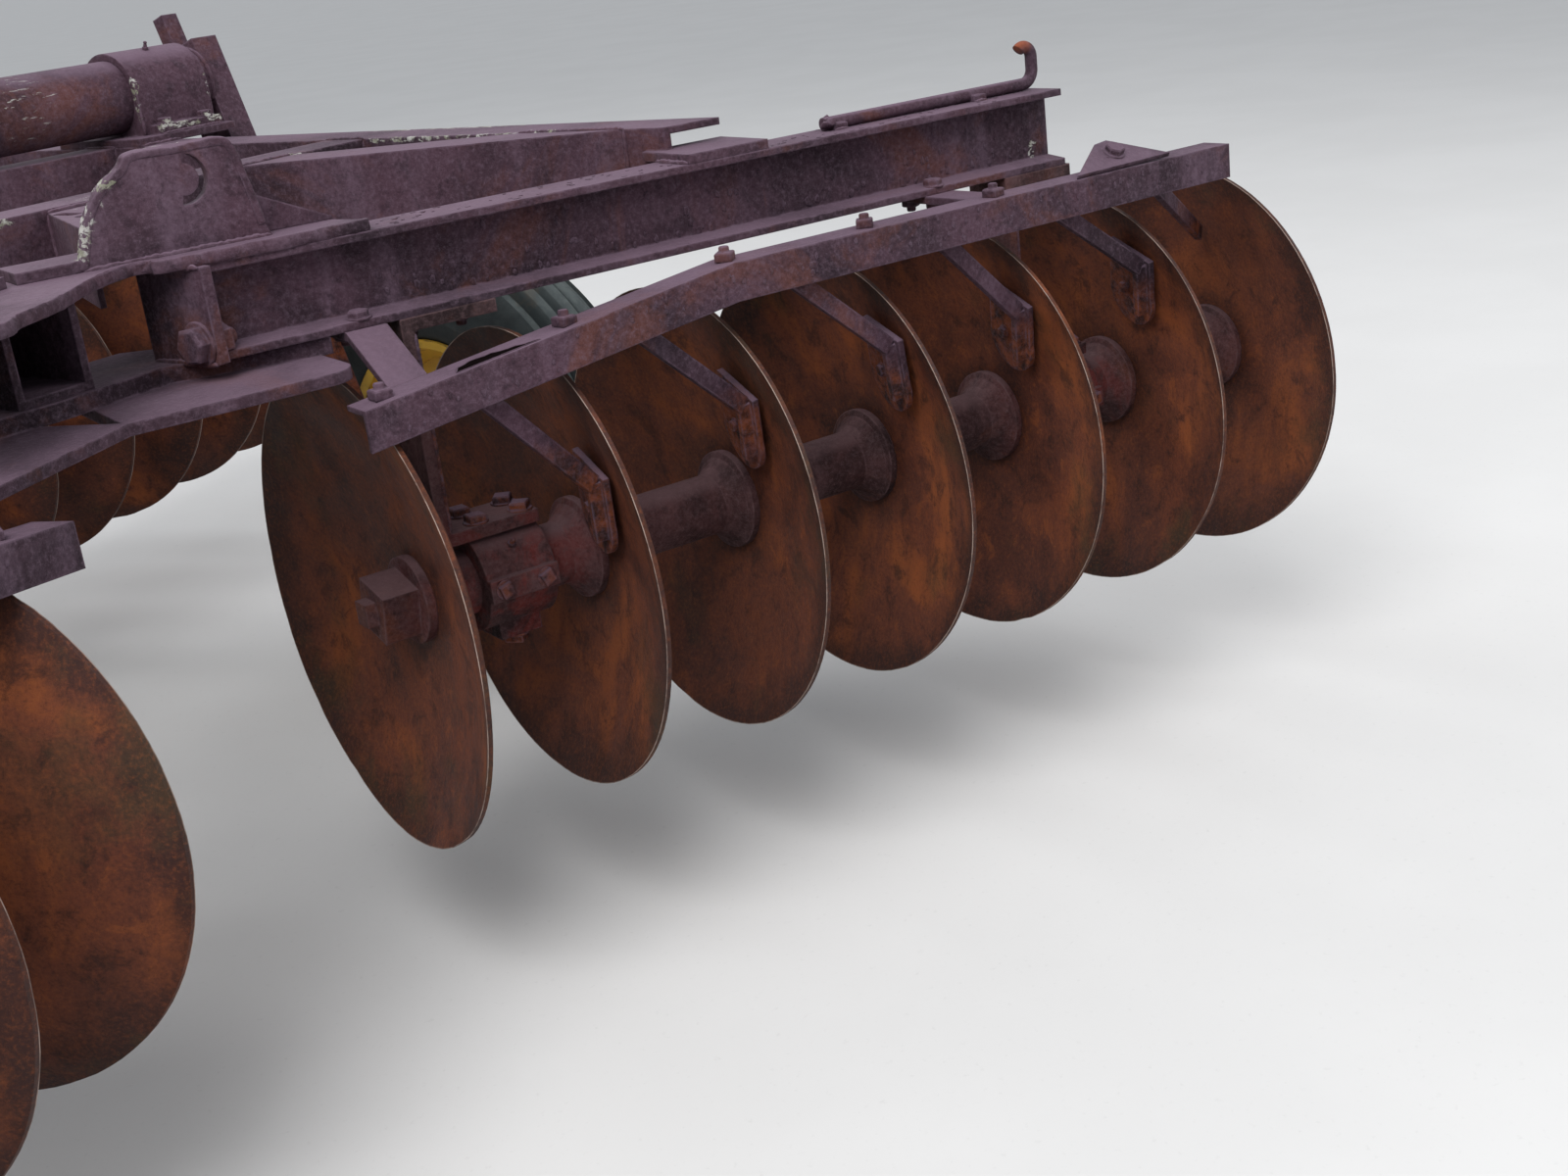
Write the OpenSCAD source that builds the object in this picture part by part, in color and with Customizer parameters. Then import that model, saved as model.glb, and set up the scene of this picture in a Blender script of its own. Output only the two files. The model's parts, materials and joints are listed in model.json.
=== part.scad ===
/* [Disc gangs] */
// Diameter of a disc blade, worn
disc_d = 586; // [540:1:610]
// Thickness of a disc blade
disc_t = 6; // [4:0.5:8]
// Radius of the sphere that a blade is dished to
dish_r = 650; // [560:5:800]
// Diameter of the flat centre of a blade
disc_flat_d = 132; // [120:1:150]
// Blades on one gang
disc_count = 7; // [5:1:8]
// Blade to blade distance along the gang
disc_pitch = 229; // [200:1:255]
// Angle of each gang to the line across the machine
gang_angle = 19; // [12:0.5:22]
// Height of the gang axles above the ground, in transport
axle_height = 470; // [440:1:520]
// Inner blade of a rear gang, distance from the centre line
rear_gang_x = 288; // [250:1:330]
// Inner blade of a rear gang, place along the machine
rear_gang_y = -1380; // [-1500:1:-1300]
// Inner blade of a front gang, distance from the centre line
front_gang_x = 200; // [190:1:260]
// Distance from the rear inner blades forward to the front inner blades
gang_spacing_y = 1380; // [1300:1:1500]

/* [Gang axle and spools] */
// Side of the square gang axle
axle_side = 29; // [25:1:30]
// Outer diameter of a spool
spool_d = 80; // [70:1:90]
// Bore of a spool
spool_bore_d = 44; // [43:1:48]
// Diameter of the flares at the ends of a spool
flare_d = 130; // [110:1:132]
// Thickness of a flare's rim
flare_t = 10; // [6:1:14]
// Side of the square nut at each end of the axle
nut_side = 62; // [50:1:70]
// Thickness of the square nut
nut_t = 46; // [30:1:50]
// Diameter of the end washer
end_washer_d = 108; // [90:1:125]
// Thickness of the end washer
end_washer_t = 12; // [8:1:16]
// Axle standing out of the nut
axle_stub = 14; // [6:1:20]

/* [Bearings and hangers] */
// Radial running clearance of the bearings
run_gap = 0.08; // [0.02:0.01:0.1]
// Outer diameter of a bearing housing
housing_d = 124; // [110:1:136]
// Length of a bearing housing
housing_l = 92; // [70:1:110]
// Width of the flat bar of a hanger
hanger_w = 76; // [60:1:90]
// Thickness of the flat bar of a hanger
hanger_t = 16; // [12:1:20]
// Distance from a hanger's leg to the middle of its housing
hanger_reach = 86; // [78:1:100]

/* [Gang beams] */
// Depth of the I-beam over a gang
beam_h = 104; // [90:1:130]
// Flange width of the beam
beam_w = 76; // [64:1:90]
// Flange thickness of the beam
beam_flange_t = 9; // [6:0.5:12]
// Web thickness of the beam
beam_web_t = 8; // [5:0.5:12]
// Top of the beam above the gang axle
beam_rise = 440; // [425:1:470]
// Inner end of each beam, distance from the centre line
beam_inner_x = 165; // [150:1:185]
// Outer end of a rear beam, measured along the gang from its inner blade
rear_beam_end = 1122; // [1120:1:1200]
// Outer end of a front beam, measured along the gang from its inner blade
front_beam_end = 1352; // [1350:1:1400]

/* [Main frame] */
// Middle of a side rail, distance from the centre line
rail_x = 830; // [800:1:850]
// Width of a side rail
rail_w = 80; // [60:1:90]
// Depth of the rails and cross members
rail_h = 102; // [80:1:110]
// Wall of the rails and cross members
rail_t = 9; // [6:0.5:12]
// Top of the rails above the top of the beams
rail_lift = 40; // [30:1:50]
// Width of the centre rail
centre_w = 90; // [70:1:110]
// Width of a cross member
cross_w = 76; // [60:1:90]
// Rear cross member, distance in front of the rear inner blades
cross_rear_y = 450; // [400:1:520]
// Plate thickness of splices, lugs and gussets
plate_t = 12; // [8:1:16]
// Height of the curved slot bracket over the splice plate
bracket_h = 109; // [90:1:120]

/* [Rockshaft and wheels] */
// Rockshaft, distance in front of the rear inner blades
shaft_y = 1020; // [980:1:1060]
// Height of the rockshaft above the gang axles
shaft_rise = 553; // [548:1:570]
// Outer diameter of the rockshaft pipe
shaft_d = 114.3; // [88.9:0.1:114.3]
// Wall of the rockshaft pipe
shaft_wall = 9; // [6:0.5:12]
// Half length of the rockshaft
shaft_half = 988; // [984:1:1000]
// Wheel spindle, distance behind the rockshaft in transport
spindle_back = 320; // [300:1:340]
// Diameter of the wheel spindle
spindle_d = 44; // [38:1:50]
// Outer diameter of a tyre
tyre_d = 740; // [700:1:760]
// Width of a tyre
tyre_w = 190; // [170:1:200]
// Bead diameter of the wheel rim
rim_d = 394; // [380:1:420]
// Gap between a wheel arm and its tyre
wheel_gap = 39; // [30:1:60]
// Length of the lift lever, rockshaft centre to pin
lever_l = 260; // [240:1:270]
// Angle of the lift lever behind vertical, in transport
lever_back = 14.5; // [12:0.5:17]

/* [Lift cylinder] */
// Outer diameter of the cylinder barrel
barrel_d = 90; // [70:1:100]
// Diameter of the cylinder rod
rod_d = 38; // [30:1:42]
// Diameter of the pins at both ends of the cylinder
cyl_pin_d = 25; // [20:1:28]
// Radial clearance of the rod's eye on its pin
eye_gap = 7; // [6:0.5:8]
// Barrel's pin, distance in front of the front inner blades
cyl_base_y = 20; // [0:1:40]
// Barrel's pin above the gang axles
cyl_base_rise = 520; // [515:1:540]

/* [Drawbar and jack] */
// Side of the drawbar tubes
draw_side = 76; // [60:1:80]
// Wall of the drawbar tubes
draw_wall = 8; // [5:0.5:10]
// Front end of the drawbar tubes, distance in front of the front inner blades
draw_front_y = 1960; // [1800:1:2100]
// Height of the hitch above the ground
hitch_z = 478; // [440:1:500]
// Diameter of the hitch pin's hole
hitch_hole_d = 33; // [26:1:40]
// Gap between the two ears of the clevis
clevis_gap = 50; // [40:1:60]
// Outer diameter of the jack's outer tube
jack_d = 64; // [56:1:70]
// Outer diameter of the jack's leg
jack_leg_d = 50; // [42:1:52]
// Middle of the jack, distance in front of the front inner blades
jack_y = 1480; // [1400:1:1560]
// Bottom of the jack's outer tube above the ground
jack_low_z = 330; // [320:1:360]

/* [Scrapers] */
// Leg of the scraper bar's angle iron
angle_leg = 46; // [40:1:50]
// Thickness of the angle iron
angle_t = 6; // [5:0.5:8]
// Face of the scraper bar, distance behind the gang axle
bar_back = 190; // [180:1:200]
// Running gap between a scraper blade and its disc
scraper_gap = 12; // [11:0.5:16]
// Diameter of a scraper blade
blade_d = 90; // [70:1:92]
// Thickness of the scraper arms and blades
blade_t = 8; // [5:0.5:10]
// Diameter of the hooked rod on the right rear beam
hook_d = 17; // [12:1:20]

/* [Hidden] */
$fn = 48;

rust = "#6b4a44";
purple_rust = "#5d4650";
disc_rust = "#7a4527";
steel_rust = "#6e5048";
yellow = "#c8961e";
tyre_grey = "#3a4042";

front_gang_y = rear_gang_y + gang_spacing_y;
beam_top = axle_height + beam_rise;
beam_low = beam_top - beam_h;
rail_top = beam_top + rail_lift;
rail_low = rail_top - rail_h;
gang_len = (disc_count - 1) * disc_pitch;
far = 4000;

// Blade: the sphere's centre lies on the gang axis, the concave rim at u = 0
disc_r = disc_d / 2;
sphere_u = -sqrt(dish_r * dish_r - disc_r * disc_r);
flat_r = disc_flat_d / 2;
flat_u = sphere_u + sqrt(dish_r * dish_r - flat_r * flat_r);
// Gap between the clamped faces of blades, spools and washers
seat_gap = 0.1;
spool_l = disc_pitch - disc_t - 2 * seat_gap;
// Middle of a bearing spool from the rim of the blade inside it
bearing_u = flat_u + disc_t + disc_pitch / 2 - 9;
// Blades after which a bearing spool follows, counted from the inner end of a rear gang
bearing_at = [0, disc_count - 3];

shaft_yy = rear_gang_y + shaft_y;
shaft_z = axle_height + shaft_rise;
spindle_y = shaft_yy - spindle_back;
spindle_z = tyre_d / 2;
cross_y = [rear_gang_y + cross_rear_y, shaft_yy];
lever_y = shaft_yy - lever_l * sin(lever_back);
lever_z = shaft_z + lever_l * cos(lever_back);
cyl_y = front_gang_y + cyl_base_y;
cyl_z = axle_height + cyl_base_rise;
cyl_angle = atan2(lever_z - cyl_z, cyl_y - lever_y);
cyl_len = norm([lever_z - cyl_z, cyl_y - lever_y]);
// Gap round a pin or a tube that sits in its hole without turning
pin_gap = 0.3;

// Splice: half lengths of the top and the bottom plate, end plates, strap below
splice_half = 350;
splice_low_half = 285;
splice_low_t = 20;
splice_ahead = 110;
// Bulged rear edge of the rear top plate, left to right: x, distance behind the meeting point
rear_edge = [
    [-265, 190], [-145, 199], [-100, 169], [-40, 139], [45, 79], [107, 54], [126, 66], [142, 92]
];
splice_end_t = 14;
splice_end_w = 110;
strap_in = 45;
strap_l = 300;
strap_back = 140;
strap_ahead = 30;
// Straps that hold a scraper bar, measured along the gang from its inner blade
strap_at = [50, 890];
strap_t = 10;
// Ends of a scraper bar, measured in the same way: inner end right, left and front
bar_inner_right = -30;
bar_inner_left = -82;
bar_outer = gang_len - 85;
// A scraper bar drops from here to its inner end, in mm for each mm
bar_bend = 450;
bar_slope = 0.127;
// Middle of the scrapers' feet ahead of the gang axle
foot_v = angle_t + pin_gap + 17 - bar_back;
// Scrapers, one row for each: foot along the gang from its disc, then the middle of its blade
// ahead of the gang axle and above it
scrapers_at = [
    [-132, -98, 62], [-156, -95, 108], [-168, -120, 132],
    [-157, -95, 128], [-193, -105, 145], [-175, -110, 140]
];
// The outermost scraper of the right rear gang has lost its blade: its foot and its arm's end
lost_foot = -229;
lost_end = [24, -26, 186];
// Scraper blade from its middle up to its square end, arm's width, depth and place on the blade
blade_up = 76;
arm_bar_w = 10;
arm_bar_h = 22;
arm_on_blade = -32;

// Rockshaft bearings, one row for the side rails and one for the front cross member
bearing_place = 0;
bearing_l = 1;
shaft_bearings_at = [[shaft_half - 88, 140], [300, 100]];
bearing_wall = 11;

// Wheel arms: bar section, wall, lean of the upper part and the knee above the spindle
arm_t = 50;
arm_w = 64;
arm_wall = 8;
arm_x = shaft_half + arm_t / 2;
arm_rise = 62;
arm_lean = 17.5;
knee_rise = 90;
// Wheels: middle from the centre line, hub's two ends from the middle, spindle past the middle
wheel_x = shaft_half + arm_t + wheel_gap + tyre_w / 2;
hub_in = 78;
hub_out = 74;
spindle_out = 51;

// Drawbar tubes from the front beams to the hitch, their ties and the level link
draw_x0 = 420;
draw_x1 = 62;
draw_z0 = axle_height + 385;
draw_y0 = front_gang_y + 60;
draw_y1 = front_gang_y + draw_front_y;
draw_over = 60;
tie_y = front_gang_y + 900;
jack_yy = front_gang_y + jack_y;
link_y = front_gang_y + 120;
level_z = beam_top + plate_t + 42;
level_pin_d = 24;
lug_t = 16;
lug_rise = 50;
// Hitch: ears of the clevis
ear_t = 20;
ear_w = 90;
hitch_plate_t = 20;
pin_y = draw_y1 + hitch_plate_t + 80;
// Jack: top of the outer tube, leg and foot
jack_top = 930;
jack_leg_l = 560;
foot_d = 180;
foot_t = 12;
// Lift cylinder: barrel's ends along the cylinder, rod's inner end, lug and eye widths
barrel_low = 50;
barrel_high = 338;
rod_start = 190;
eye_l = 46;

// Steps from the local frame of a gang (u outwards, v forwards, w up) to the machine
module at_gang(front, side) {
    gx = front ? front_gang_x : rear_gang_x;
    gy = front ? front_gang_y : rear_gang_y;
    turn = front ? gang_angle : -gang_angle;
    if (side > 0)
        translate([gx, gy, axle_height]) rotate([0, 0, turn]) children();
    else
        mirror([1, 0, 0]) translate([gx, gy, axle_height]) rotate([0, 0, turn]) children();
}

// A front gang is a rear gang turned end for end, so its blades face outwards
module stack(front) {
    if (front)
        translate([gang_len, 0, 0]) mirror([1, 0, 0]) children();
    else
        children();
}

// Bar of a rectangular section between two points
module strut(p, q, w, h) {
    d = q - p;
    flat = norm([d[0], d[1]]);
    translate(p) rotate([0, 0, atan2(d[1], d[0])]) rotate([0, -atan2(d[2], flat), 0])
        translate([0, -w / 2, -h / 2]) cube([norm(d), w, h]);
}

// Round bar between two points
module round_strut(p, q, d) {
    e = q - p;
    flat = norm([e[0], e[1]]);
    translate(p) rotate([0, 0, atan2(e[1], e[0])]) rotate([0, 90 - atan2(e[2], flat), 0])
        cylinder(d = d, h = norm(e));
}

// Cylinder along X, centred on x
module x_cyl(x, y, z, d, l) {
    translate([x - l / 2, y, z]) rotate([0, 90, 0]) cylinder(d = d, h = l);
}

// One dished blade, rim at u = 0, with its flat centre and square hole
module blade() {
    rotate([0, 90, 0]) difference() {
        union() {
            difference() {
                intersection() {
                    translate([0, 0, sphere_u]) sphere(r = dish_r + disc_t, $fn = 96);
                    translate([0, 0, -1]) cylinder(r = disc_r, h = dish_r, $fn = 96);
                }
                translate([0, 0, sphere_u]) sphere(r = dish_r, $fn = 96);
                translate([0, 0, -1]) cylinder(r = flat_r - 1, h = dish_r);
            }
            translate([0, 0, flat_u]) cylinder(r = flat_r, h = disc_t);
        }
        translate([-axle_side / 2 - 0.3, -axle_side / 2 - 0.3, 0])
            cube([axle_side + 0.6, axle_side + 0.6, dish_r]);
    }
}

module discs(front, side) {
    color(disc_rust) at_gang(front, side) stack(front)
        for (k = [0 : disc_count - 1]) translate([k * disc_pitch, 0, 0]) blade();
}

// Spool between two blades, its flares against their flat centres
module spool() {
    r = spool_d / 2;
    fr = flare_d / 2;
    bore = spool_bore_d / 2;
    neck = 22;
    rotate([0, 90, 0]) rotate_extrude() polygon([
        [bore, 0], [fr - 8, 0], [fr - 8, flare_t], [r + 6, neck], [r, neck + 8],
        [r, spool_l - neck - 12], [r + 7, spool_l - neck - 2], [fr - 8, spool_l - flare_t - 3],
        [fr, spool_l - flare_t], [fr, spool_l], [bore, spool_l]
    ]);
}

module spools(front, side) {
    color(steel_rust) at_gang(front, side) stack(front)
        for (k = [0 : disc_count - 2])
            translate([k * disc_pitch + flat_u + disc_t + seat_gap, 0, 0]) spool();
}

module square_bar(u0, u1, s) {
    translate([u0, -s / 2, -s / 2]) cube([u1 - u0, s, s]);
}

// Square axle through a gang, with its washers and square nuts
module gang_axle(front, side) {
    washer_in = flat_u - seat_gap - end_washer_t;
    washer_out = gang_len + flat_u + disc_t + seat_gap;
    outer = washer_out + end_washer_t;
    color(rust) at_gang(front, side) stack(front) union() {
        square_bar(washer_in - nut_t - axle_stub, outer + nut_t + axle_stub, axle_side);
        for (u = [washer_in, washer_out]) translate([u, 0, 0]) rotate([0, 90, 0])
            cylinder(d = end_washer_d, h = end_washer_t);
        rotate([14, 0, 0]) {
            square_bar(washer_in - nut_t, washer_in, nut_side);
            square_bar(outer, outer + nut_t, nut_side);
        }
    }
}

// Section of the I-beam, middle of its top at the origin
module beam_section() {
    w = beam_w / 2;
    b = beam_web_t / 2;
    f = beam_flange_t;
    polygon([
        [-w, 0], [w, 0], [w, -f], [b, -f - 4], [b, f + 4 - beam_h], [w, f - beam_h],
        [w, -beam_h], [-w, -beam_h], [-w, f - beam_h], [-b, f + 4 - beam_h], [-b, -f - 4], [-w, -f]
    ]);
}

module beam(front, side) {
    stop = front ? front_beam_end : rear_beam_end;
    color(purple_rust) difference() {
        at_gang(front, side) translate([-far / 8, 0, beam_rise])
            rotate([90, 0, 90]) linear_extrude(stop + far / 8) beam_section();
        translate([-beam_inner_x, -far, 0]) cube([2 * beam_inner_x, 2 * far, far]);
        translate([side > 0 ? -far : 0, -far, 0]) cube([far, 2 * far, far]);
    }
}

// All that lies on the far side of a beam's inner flange edge, seen from the frame
module beyond_beam(front) {
    for (side = [-1, 1]) at_gang(front, side)
        translate([-far / 10, front ? -beam_w / 2 : beam_w / 2 - far, -far / 2])
            cube([far, far, far]);
}

// Channel rail, web towards the centre, cut to lie against both beams
module rail(side) {
    w = rail_w / 2;
    t = rail_t;
    inner_u = (rail_x - w - rear_gang_x) / cos(gang_angle);
    front_u = (rail_x - w - front_gang_x) / cos(gang_angle);
    lap = rail_w + 40;
    tongue = 30;
    color(purple_rust) union() {
        difference() {
            mirror([side > 0 ? 0 : 1, 0, 0]) translate([rail_x, -far / 2, rail_low])
                rotate([-90, 0, 0]) linear_extrude(far) polygon([
                    [-w, 0], [w, 0], [w, -t], [t - w, -t], [t - w, t - rail_h],
                    [w, t - rail_h], [w, -rail_h], [-w, -rail_h]
                ]);
            beyond_beam(false);
            beyond_beam(true);
        }
        at_gang(false, side) translate([inner_u - tongue, -beam_w / 2, beam_rise])
            cube([lap, beam_w + tongue, plate_t]);
        at_gang(true, side) translate([front_u - tongue, -beam_w / 2 - tongue, beam_rise])
            cube([lap, beam_w + tongue, plate_t]);
    }
}

// Box rail on the centre line, between the splice plates, on to the level link's lugs
module centre_rail() {
    y0 = beam_y(false, 0) - 40;
    y1 = link_y + 50;
    color(purple_rust) difference() {
        translate([-centre_w / 2, y0, beam_low]) cube([centre_w, y1 - y0, beam_h]);
        translate([-centre_w / 2 + rail_t, y0 - 1, beam_low + rail_t])
            cube([centre_w - 2 * rail_t, far, beam_h - 2 * rail_t]);
    }
}

// Each cross member is a left and a right box between the centre rail and a side rail
module cross_members() {
    span = rail_x - rail_w / 2 - centre_w / 2;
    color(purple_rust) for (y = cross_y, side = [0, 1]) mirror([side, 0, 0])
        translate([centre_w / 2, y - cross_w / 2, rail_low]) difference() {
            cube([span, cross_w, rail_h]);
            translate([-1, rail_t, rail_t])
                cube([span + 2, cross_w - 2 * rail_t, rail_h - 2 * rail_t]);
        }
}

// Diagonal brace from the rear cross member to the side rail, open below
brace_x = [220, 130];
brace_y = [480, 300];
module braces() {
    y0 = cross_y[0] - cross_w / 2;
    x1 = rail_x - rail_w / 2;
    long = [for (i = [0, 1]) rail_t * norm([brace_x[i], brace_y[i]])];
    color(purple_rust) for (side = [0, 1]) mirror([side, 0, 0]) difference() {
        translate([0, 0, rail_low]) linear_extrude(rail_h) polygon([
            [x1 - brace_x[0], y0], [x1 - brace_x[1], y0], [x1, y0 - brace_y[1]], [x1, y0 - brace_y[0]]
        ]);
        translate([0, 0, rail_low - 1]) linear_extrude(rail_h + 1 - rail_t) polygon([
            [x1 - brace_x[0] + long[0] / brace_y[0], y0 + 1],
            [x1 - brace_x[1] - long[1] / brace_y[1], y0 + 1],
            [x1 + 1, y0 - brace_y[1] - long[1] / brace_x[1]],
            [x1 + 1, y0 - brace_y[0] + long[0] / brace_x[0]]
        ]);
    }
}

// Middle line of a pair of beams at a distance x from the centre
function beam_y(front, x) = front
    ? front_gang_y + (x - front_gang_x) * tan(gang_angle)
    : rear_gang_y - (x - rear_gang_x) * tan(gang_angle);

// Outline of a splice plate that follows both beams and bulges between them
module splice_outline(front, half, back, ahead) {
    s = front ? -1 : 1;
    ym = beam_y(front, 0);
    ye = beam_y(front, half);
    b = beam_w / 2;
    polygon([
        [-half, ye - s * b], [-half * 0.45, ym - s * (back - 8)], [0, ym - s * back],
        [half * 0.45, ym - s * (back - 8)], [half, ye - s * b], [half, ye + s * b],
        [half * 0.6, ym + s * ahead], [-half * 0.6, ym + s * ahead], [-half, ye + s * b]
    ]);
}

// Outline of the rear top plate, its rear edge bulged out on the left
module rear_outline() {
    ym = beam_y(false, 0);
    ye = beam_y(false, splice_half);
    b = beam_w / 2;
    polygon([
        [-splice_half, ye - b], for (e = rear_edge) [e[0], ym - e[1]], [splice_half, ye - b],
        [splice_half, ye + b], [splice_half * 0.6, ym + splice_ahead],
        [-splice_half * 0.6, ym + splice_ahead], [-splice_half, ye + b]
    ]);
}

// Plates, end plates and a strap below that join a left and a right beam
module splice(front) {
    y_end = beam_y(front, beam_inner_x);
    translate([0, 0, beam_top]) linear_extrude(plate_t)
        if (front) splice_outline(true, splice_half, 52, splice_ahead);
        else rear_outline();
    translate([0, 0, beam_low - splice_low_t]) linear_extrude(splice_low_t)
        splice_outline(front, splice_low_half, 50, 90);
    for (side = [0, 1]) mirror([side, 0, 0]) {
        translate([beam_inner_x - splice_end_t, y_end - splice_end_w / 2, beam_low])
            cube([splice_end_t, splice_end_w, beam_h]);
        translate([0, beam_y(front, 0), beam_low - splice_low_t - plate_t])
            rotate([0, 0, front ? gang_angle : -gang_angle]) linear_extrude(plate_t + 1)
                strap_outline(front ? -1 : 1);
    }
}

// Strap under a splice: half of it, from near the centre out to its round end
module strap_outline(s) {
    r = 34;
    polygon([
        [strap_in, -s * strap_back],
        for (a = [0 : 15 : 90]) [strap_l - r + r * sin(a), s * (r - r * cos(a) - strap_back)],
        for (a = [0 : 15 : 90]) [strap_l - r + r * cos(a), s * (strap_ahead - r + r * sin(a))],
        [strap_in, s * strap_ahead]
    ]);
}

module splice_rear() {
    color(purple_rust) splice(false);
}

// Two lug plates either side of the centre plane, a pin's hole at y, z
module lugs(gap, y, z, z0, w) {
    for (x = [-gap / 2 - lug_t, gap / 2]) {
        translate([x, y - w / 2, z0]) cube([lug_t, w, z - z0]);
        translate([x, y, z]) rotate([0, 90, 0]) cylinder(d = w, h = lug_t);
    }
}

// The front splice also carries the lugs of the cylinder and of the level link
module splice_front() {
    z0 = beam_top + plate_t;
    y0 = beam_y(true, 0) - 20;
    color(purple_rust) difference() {
        union() {
            splice(true);
            translate([-90, y0, beam_top]) cube([180, link_y + 50 - y0, plate_t]);
            lugs(eye_l + 2, cyl_y, cyl_z, z0 - 1, 90);
            lugs(36, link_y, level_z, z0 - 1, 60);
        }
        x_cyl(0, cyl_y, cyl_z, cyl_pin_d + 2 * run_gap, 200);
        x_cyl(0, link_y, level_z, level_pin_d + 2 * pin_gap, 200);
    }
}

// Plate bracket with a curved slot, its foot and a low gusset, over the inner end of a beam
module slot_brackets() {
    t = 14;
    foot_w = 68;
    slot = [-106, bracket_h * 0.68];
    slot_r = 27;
    color(purple_rust) for (side = [-1, 1])
        at_gang(false, side) translate([0, t / 2, beam_rise + plate_t]) union() {
            rotate([90, 0, 0]) linear_extrude(t) difference() {
                polygon([
                    [-230, 0], [-214, bracket_h * 0.46], [-195, bracket_h * 0.71],
                    [-170, bracket_h * 0.87], [-155, bracket_h - 1], [-61, bracket_h],
                    [-47, bracket_h - 9], [-38, bracket_h * 0.62], [-28, 14], [-22, 0]
                ]);
                intersection() {
                    difference() {
                        translate(slot) circle(slot_r);
                        translate(slot) circle(slot_r - 10);
                    }
                    translate(slot) polygon([[0, 0], [6, 40], [50, 40], [50, -40], [-8, -40]]);
                }
            }
            translate([-296, -t, 0]) cube([80, foot_w, plate_t]);
            translate([0, 22, 0]) rotate([90, 0, 0]) linear_extrude(8)
                polygon([[-120, 0], [-40, 50], [60, 4], [60, 0]]);
            translate([-110, -1, 0]) cube([20, 16, 10]);
        }
}

// Slotted angle bars from the rear splice plate forward to the rear cross member
module adjust_bars() {
    y0 = rear_gang_y + 95;
    y1 = cross_y[0] - cross_w / 2;
    x0 = 122;
    x1 = x0 + (y1 - y0) * 0.47;
    w = 85;
    t = 8;
    top = rail_top - 5;
    color(rust) for (side = [0, 1]) mirror([side, 0, 0]) difference() {
        union() {
            translate([0, 0, top - t]) linear_extrude(t)
                polygon([[x0, y0], [x0 + w, y0], [x1 + w, y1], [x1, y1]]);
            translate([0, 0, top - 90]) linear_extrude(90 - t / 2)
                polygon([[x0, y0], [x0 + t, y0], [x1 + t, y1], [x1, y1]]);
        }
        translate([0, y0 - 1, 0])
            cube([far, beam_y(false, 0) + splice_ahead + 1 - y0, beam_top + plate_t]);
        for (hole = [[y1 - 60, 24], [y1 - 120, 40]])
            translate([x1 - (y1 - hole[0]) * 0.47 + hole[1], hole[0], top - t - 1]) {
                cylinder(d = 17, h = t + 2);
                translate([0, 28, 0]) cylinder(d = 17, h = t + 2);
                translate([-8.5, 0, 0]) cube([17, 28, t + 2]);
            }
    }
}

// Rockshaft bearings: two on the side rails, two on the front cross member
module shaft_bearings() {
    z0 = rail_top;
    r = shaft_d / 2 + bearing_wall;
    color(rust) for (side = [0, 1], row = shaft_bearings_at) mirror([side, 0, 0]) {
        x = row[bearing_place];
        l = row[bearing_l];
        on_rail = x > rail_x;
        plate_x0 = on_rail ? rail_x - rail_w / 2 : x - 60;
        plate_x1 = on_rail ? shaft_half - 10 : x + 60;
        difference() {
            union() {
                translate([plate_x0, shaft_yy - 105, z0]) cube([plate_x1 - plate_x0, 210, plate_t]);
                translate([x - l / 2, shaft_yy - r, z0]) cube([l, 2 * r, shaft_z - z0]);
                x_cyl(x, shaft_yy, shaft_z, 2 * r, l);
                translate([x - l / 2 + 10, shaft_yy - 98, z0]) cube([l - 20, 196, plate_t + 14]);
            }
            x_cyl(x, shaft_yy, shaft_z, shaft_d + 2 * run_gap, l + 20);
        }
    }
}

// Hanger: a flat bar bent to a C, with the bearing housing under it
module hanger() {
    leg_u = bearing_u - hanger_reach;
    foot = hanger_reach + housing_l / 2;
    foot_z = housing_d / 2 - 2;
    w = hanger_w;
    t = hanger_t;
    difference() {
        union() {
            translate([leg_u, -w / 2, beam_rise - beam_h - t]) cube([foot - 10, w, t]);
            translate([leg_u, -w / 2, foot_z]) cube([t, w, beam_rise - beam_h - foot_z]);
            translate([leg_u, -w / 2, foot_z]) cube([foot, w, t]);
            translate([bearing_u, 0, 0]) rotate([0, 90, 0]) translate([0, 0, -housing_l / 2])
                cylinder(d = housing_d, h = housing_l);
            translate([bearing_u - housing_l / 2, -68, -14]) cube([housing_l, 136, 28]);
            translate([bearing_u - 28, -34, -housing_d / 2 - 12]) cube([56, 68, 40]);
        }
        translate([bearing_u, 0, 0]) rotate([0, 90, 0]) translate([0, 0, -housing_l])
            cylinder(d = spool_d + 2 * run_gap, h = 2 * housing_l);
    }
}

module hangers() {
    color(rust) for (front = [false, true], side = [-1, 1], k = bearing_at)
        at_gang(front, side) stack(front) translate([k * disc_pitch, 0, 0]) hanger();
}

// Top of a scraper bar above the gang axle
function bar_w(u) = beam_rise - beam_h + angle_t - max(0, bar_bend - u) * bar_slope;

// Side view of a scraper bar or of one of its legs, h deep
module bar_profile(inner, h) {
    polygon([
        for (u = [inner, bar_bend, bar_outer]) [u, bar_w(u)],
        for (u = [bar_outer, bar_bend, inner]) [u, bar_w(u) - h]
    ]);
}

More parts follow.
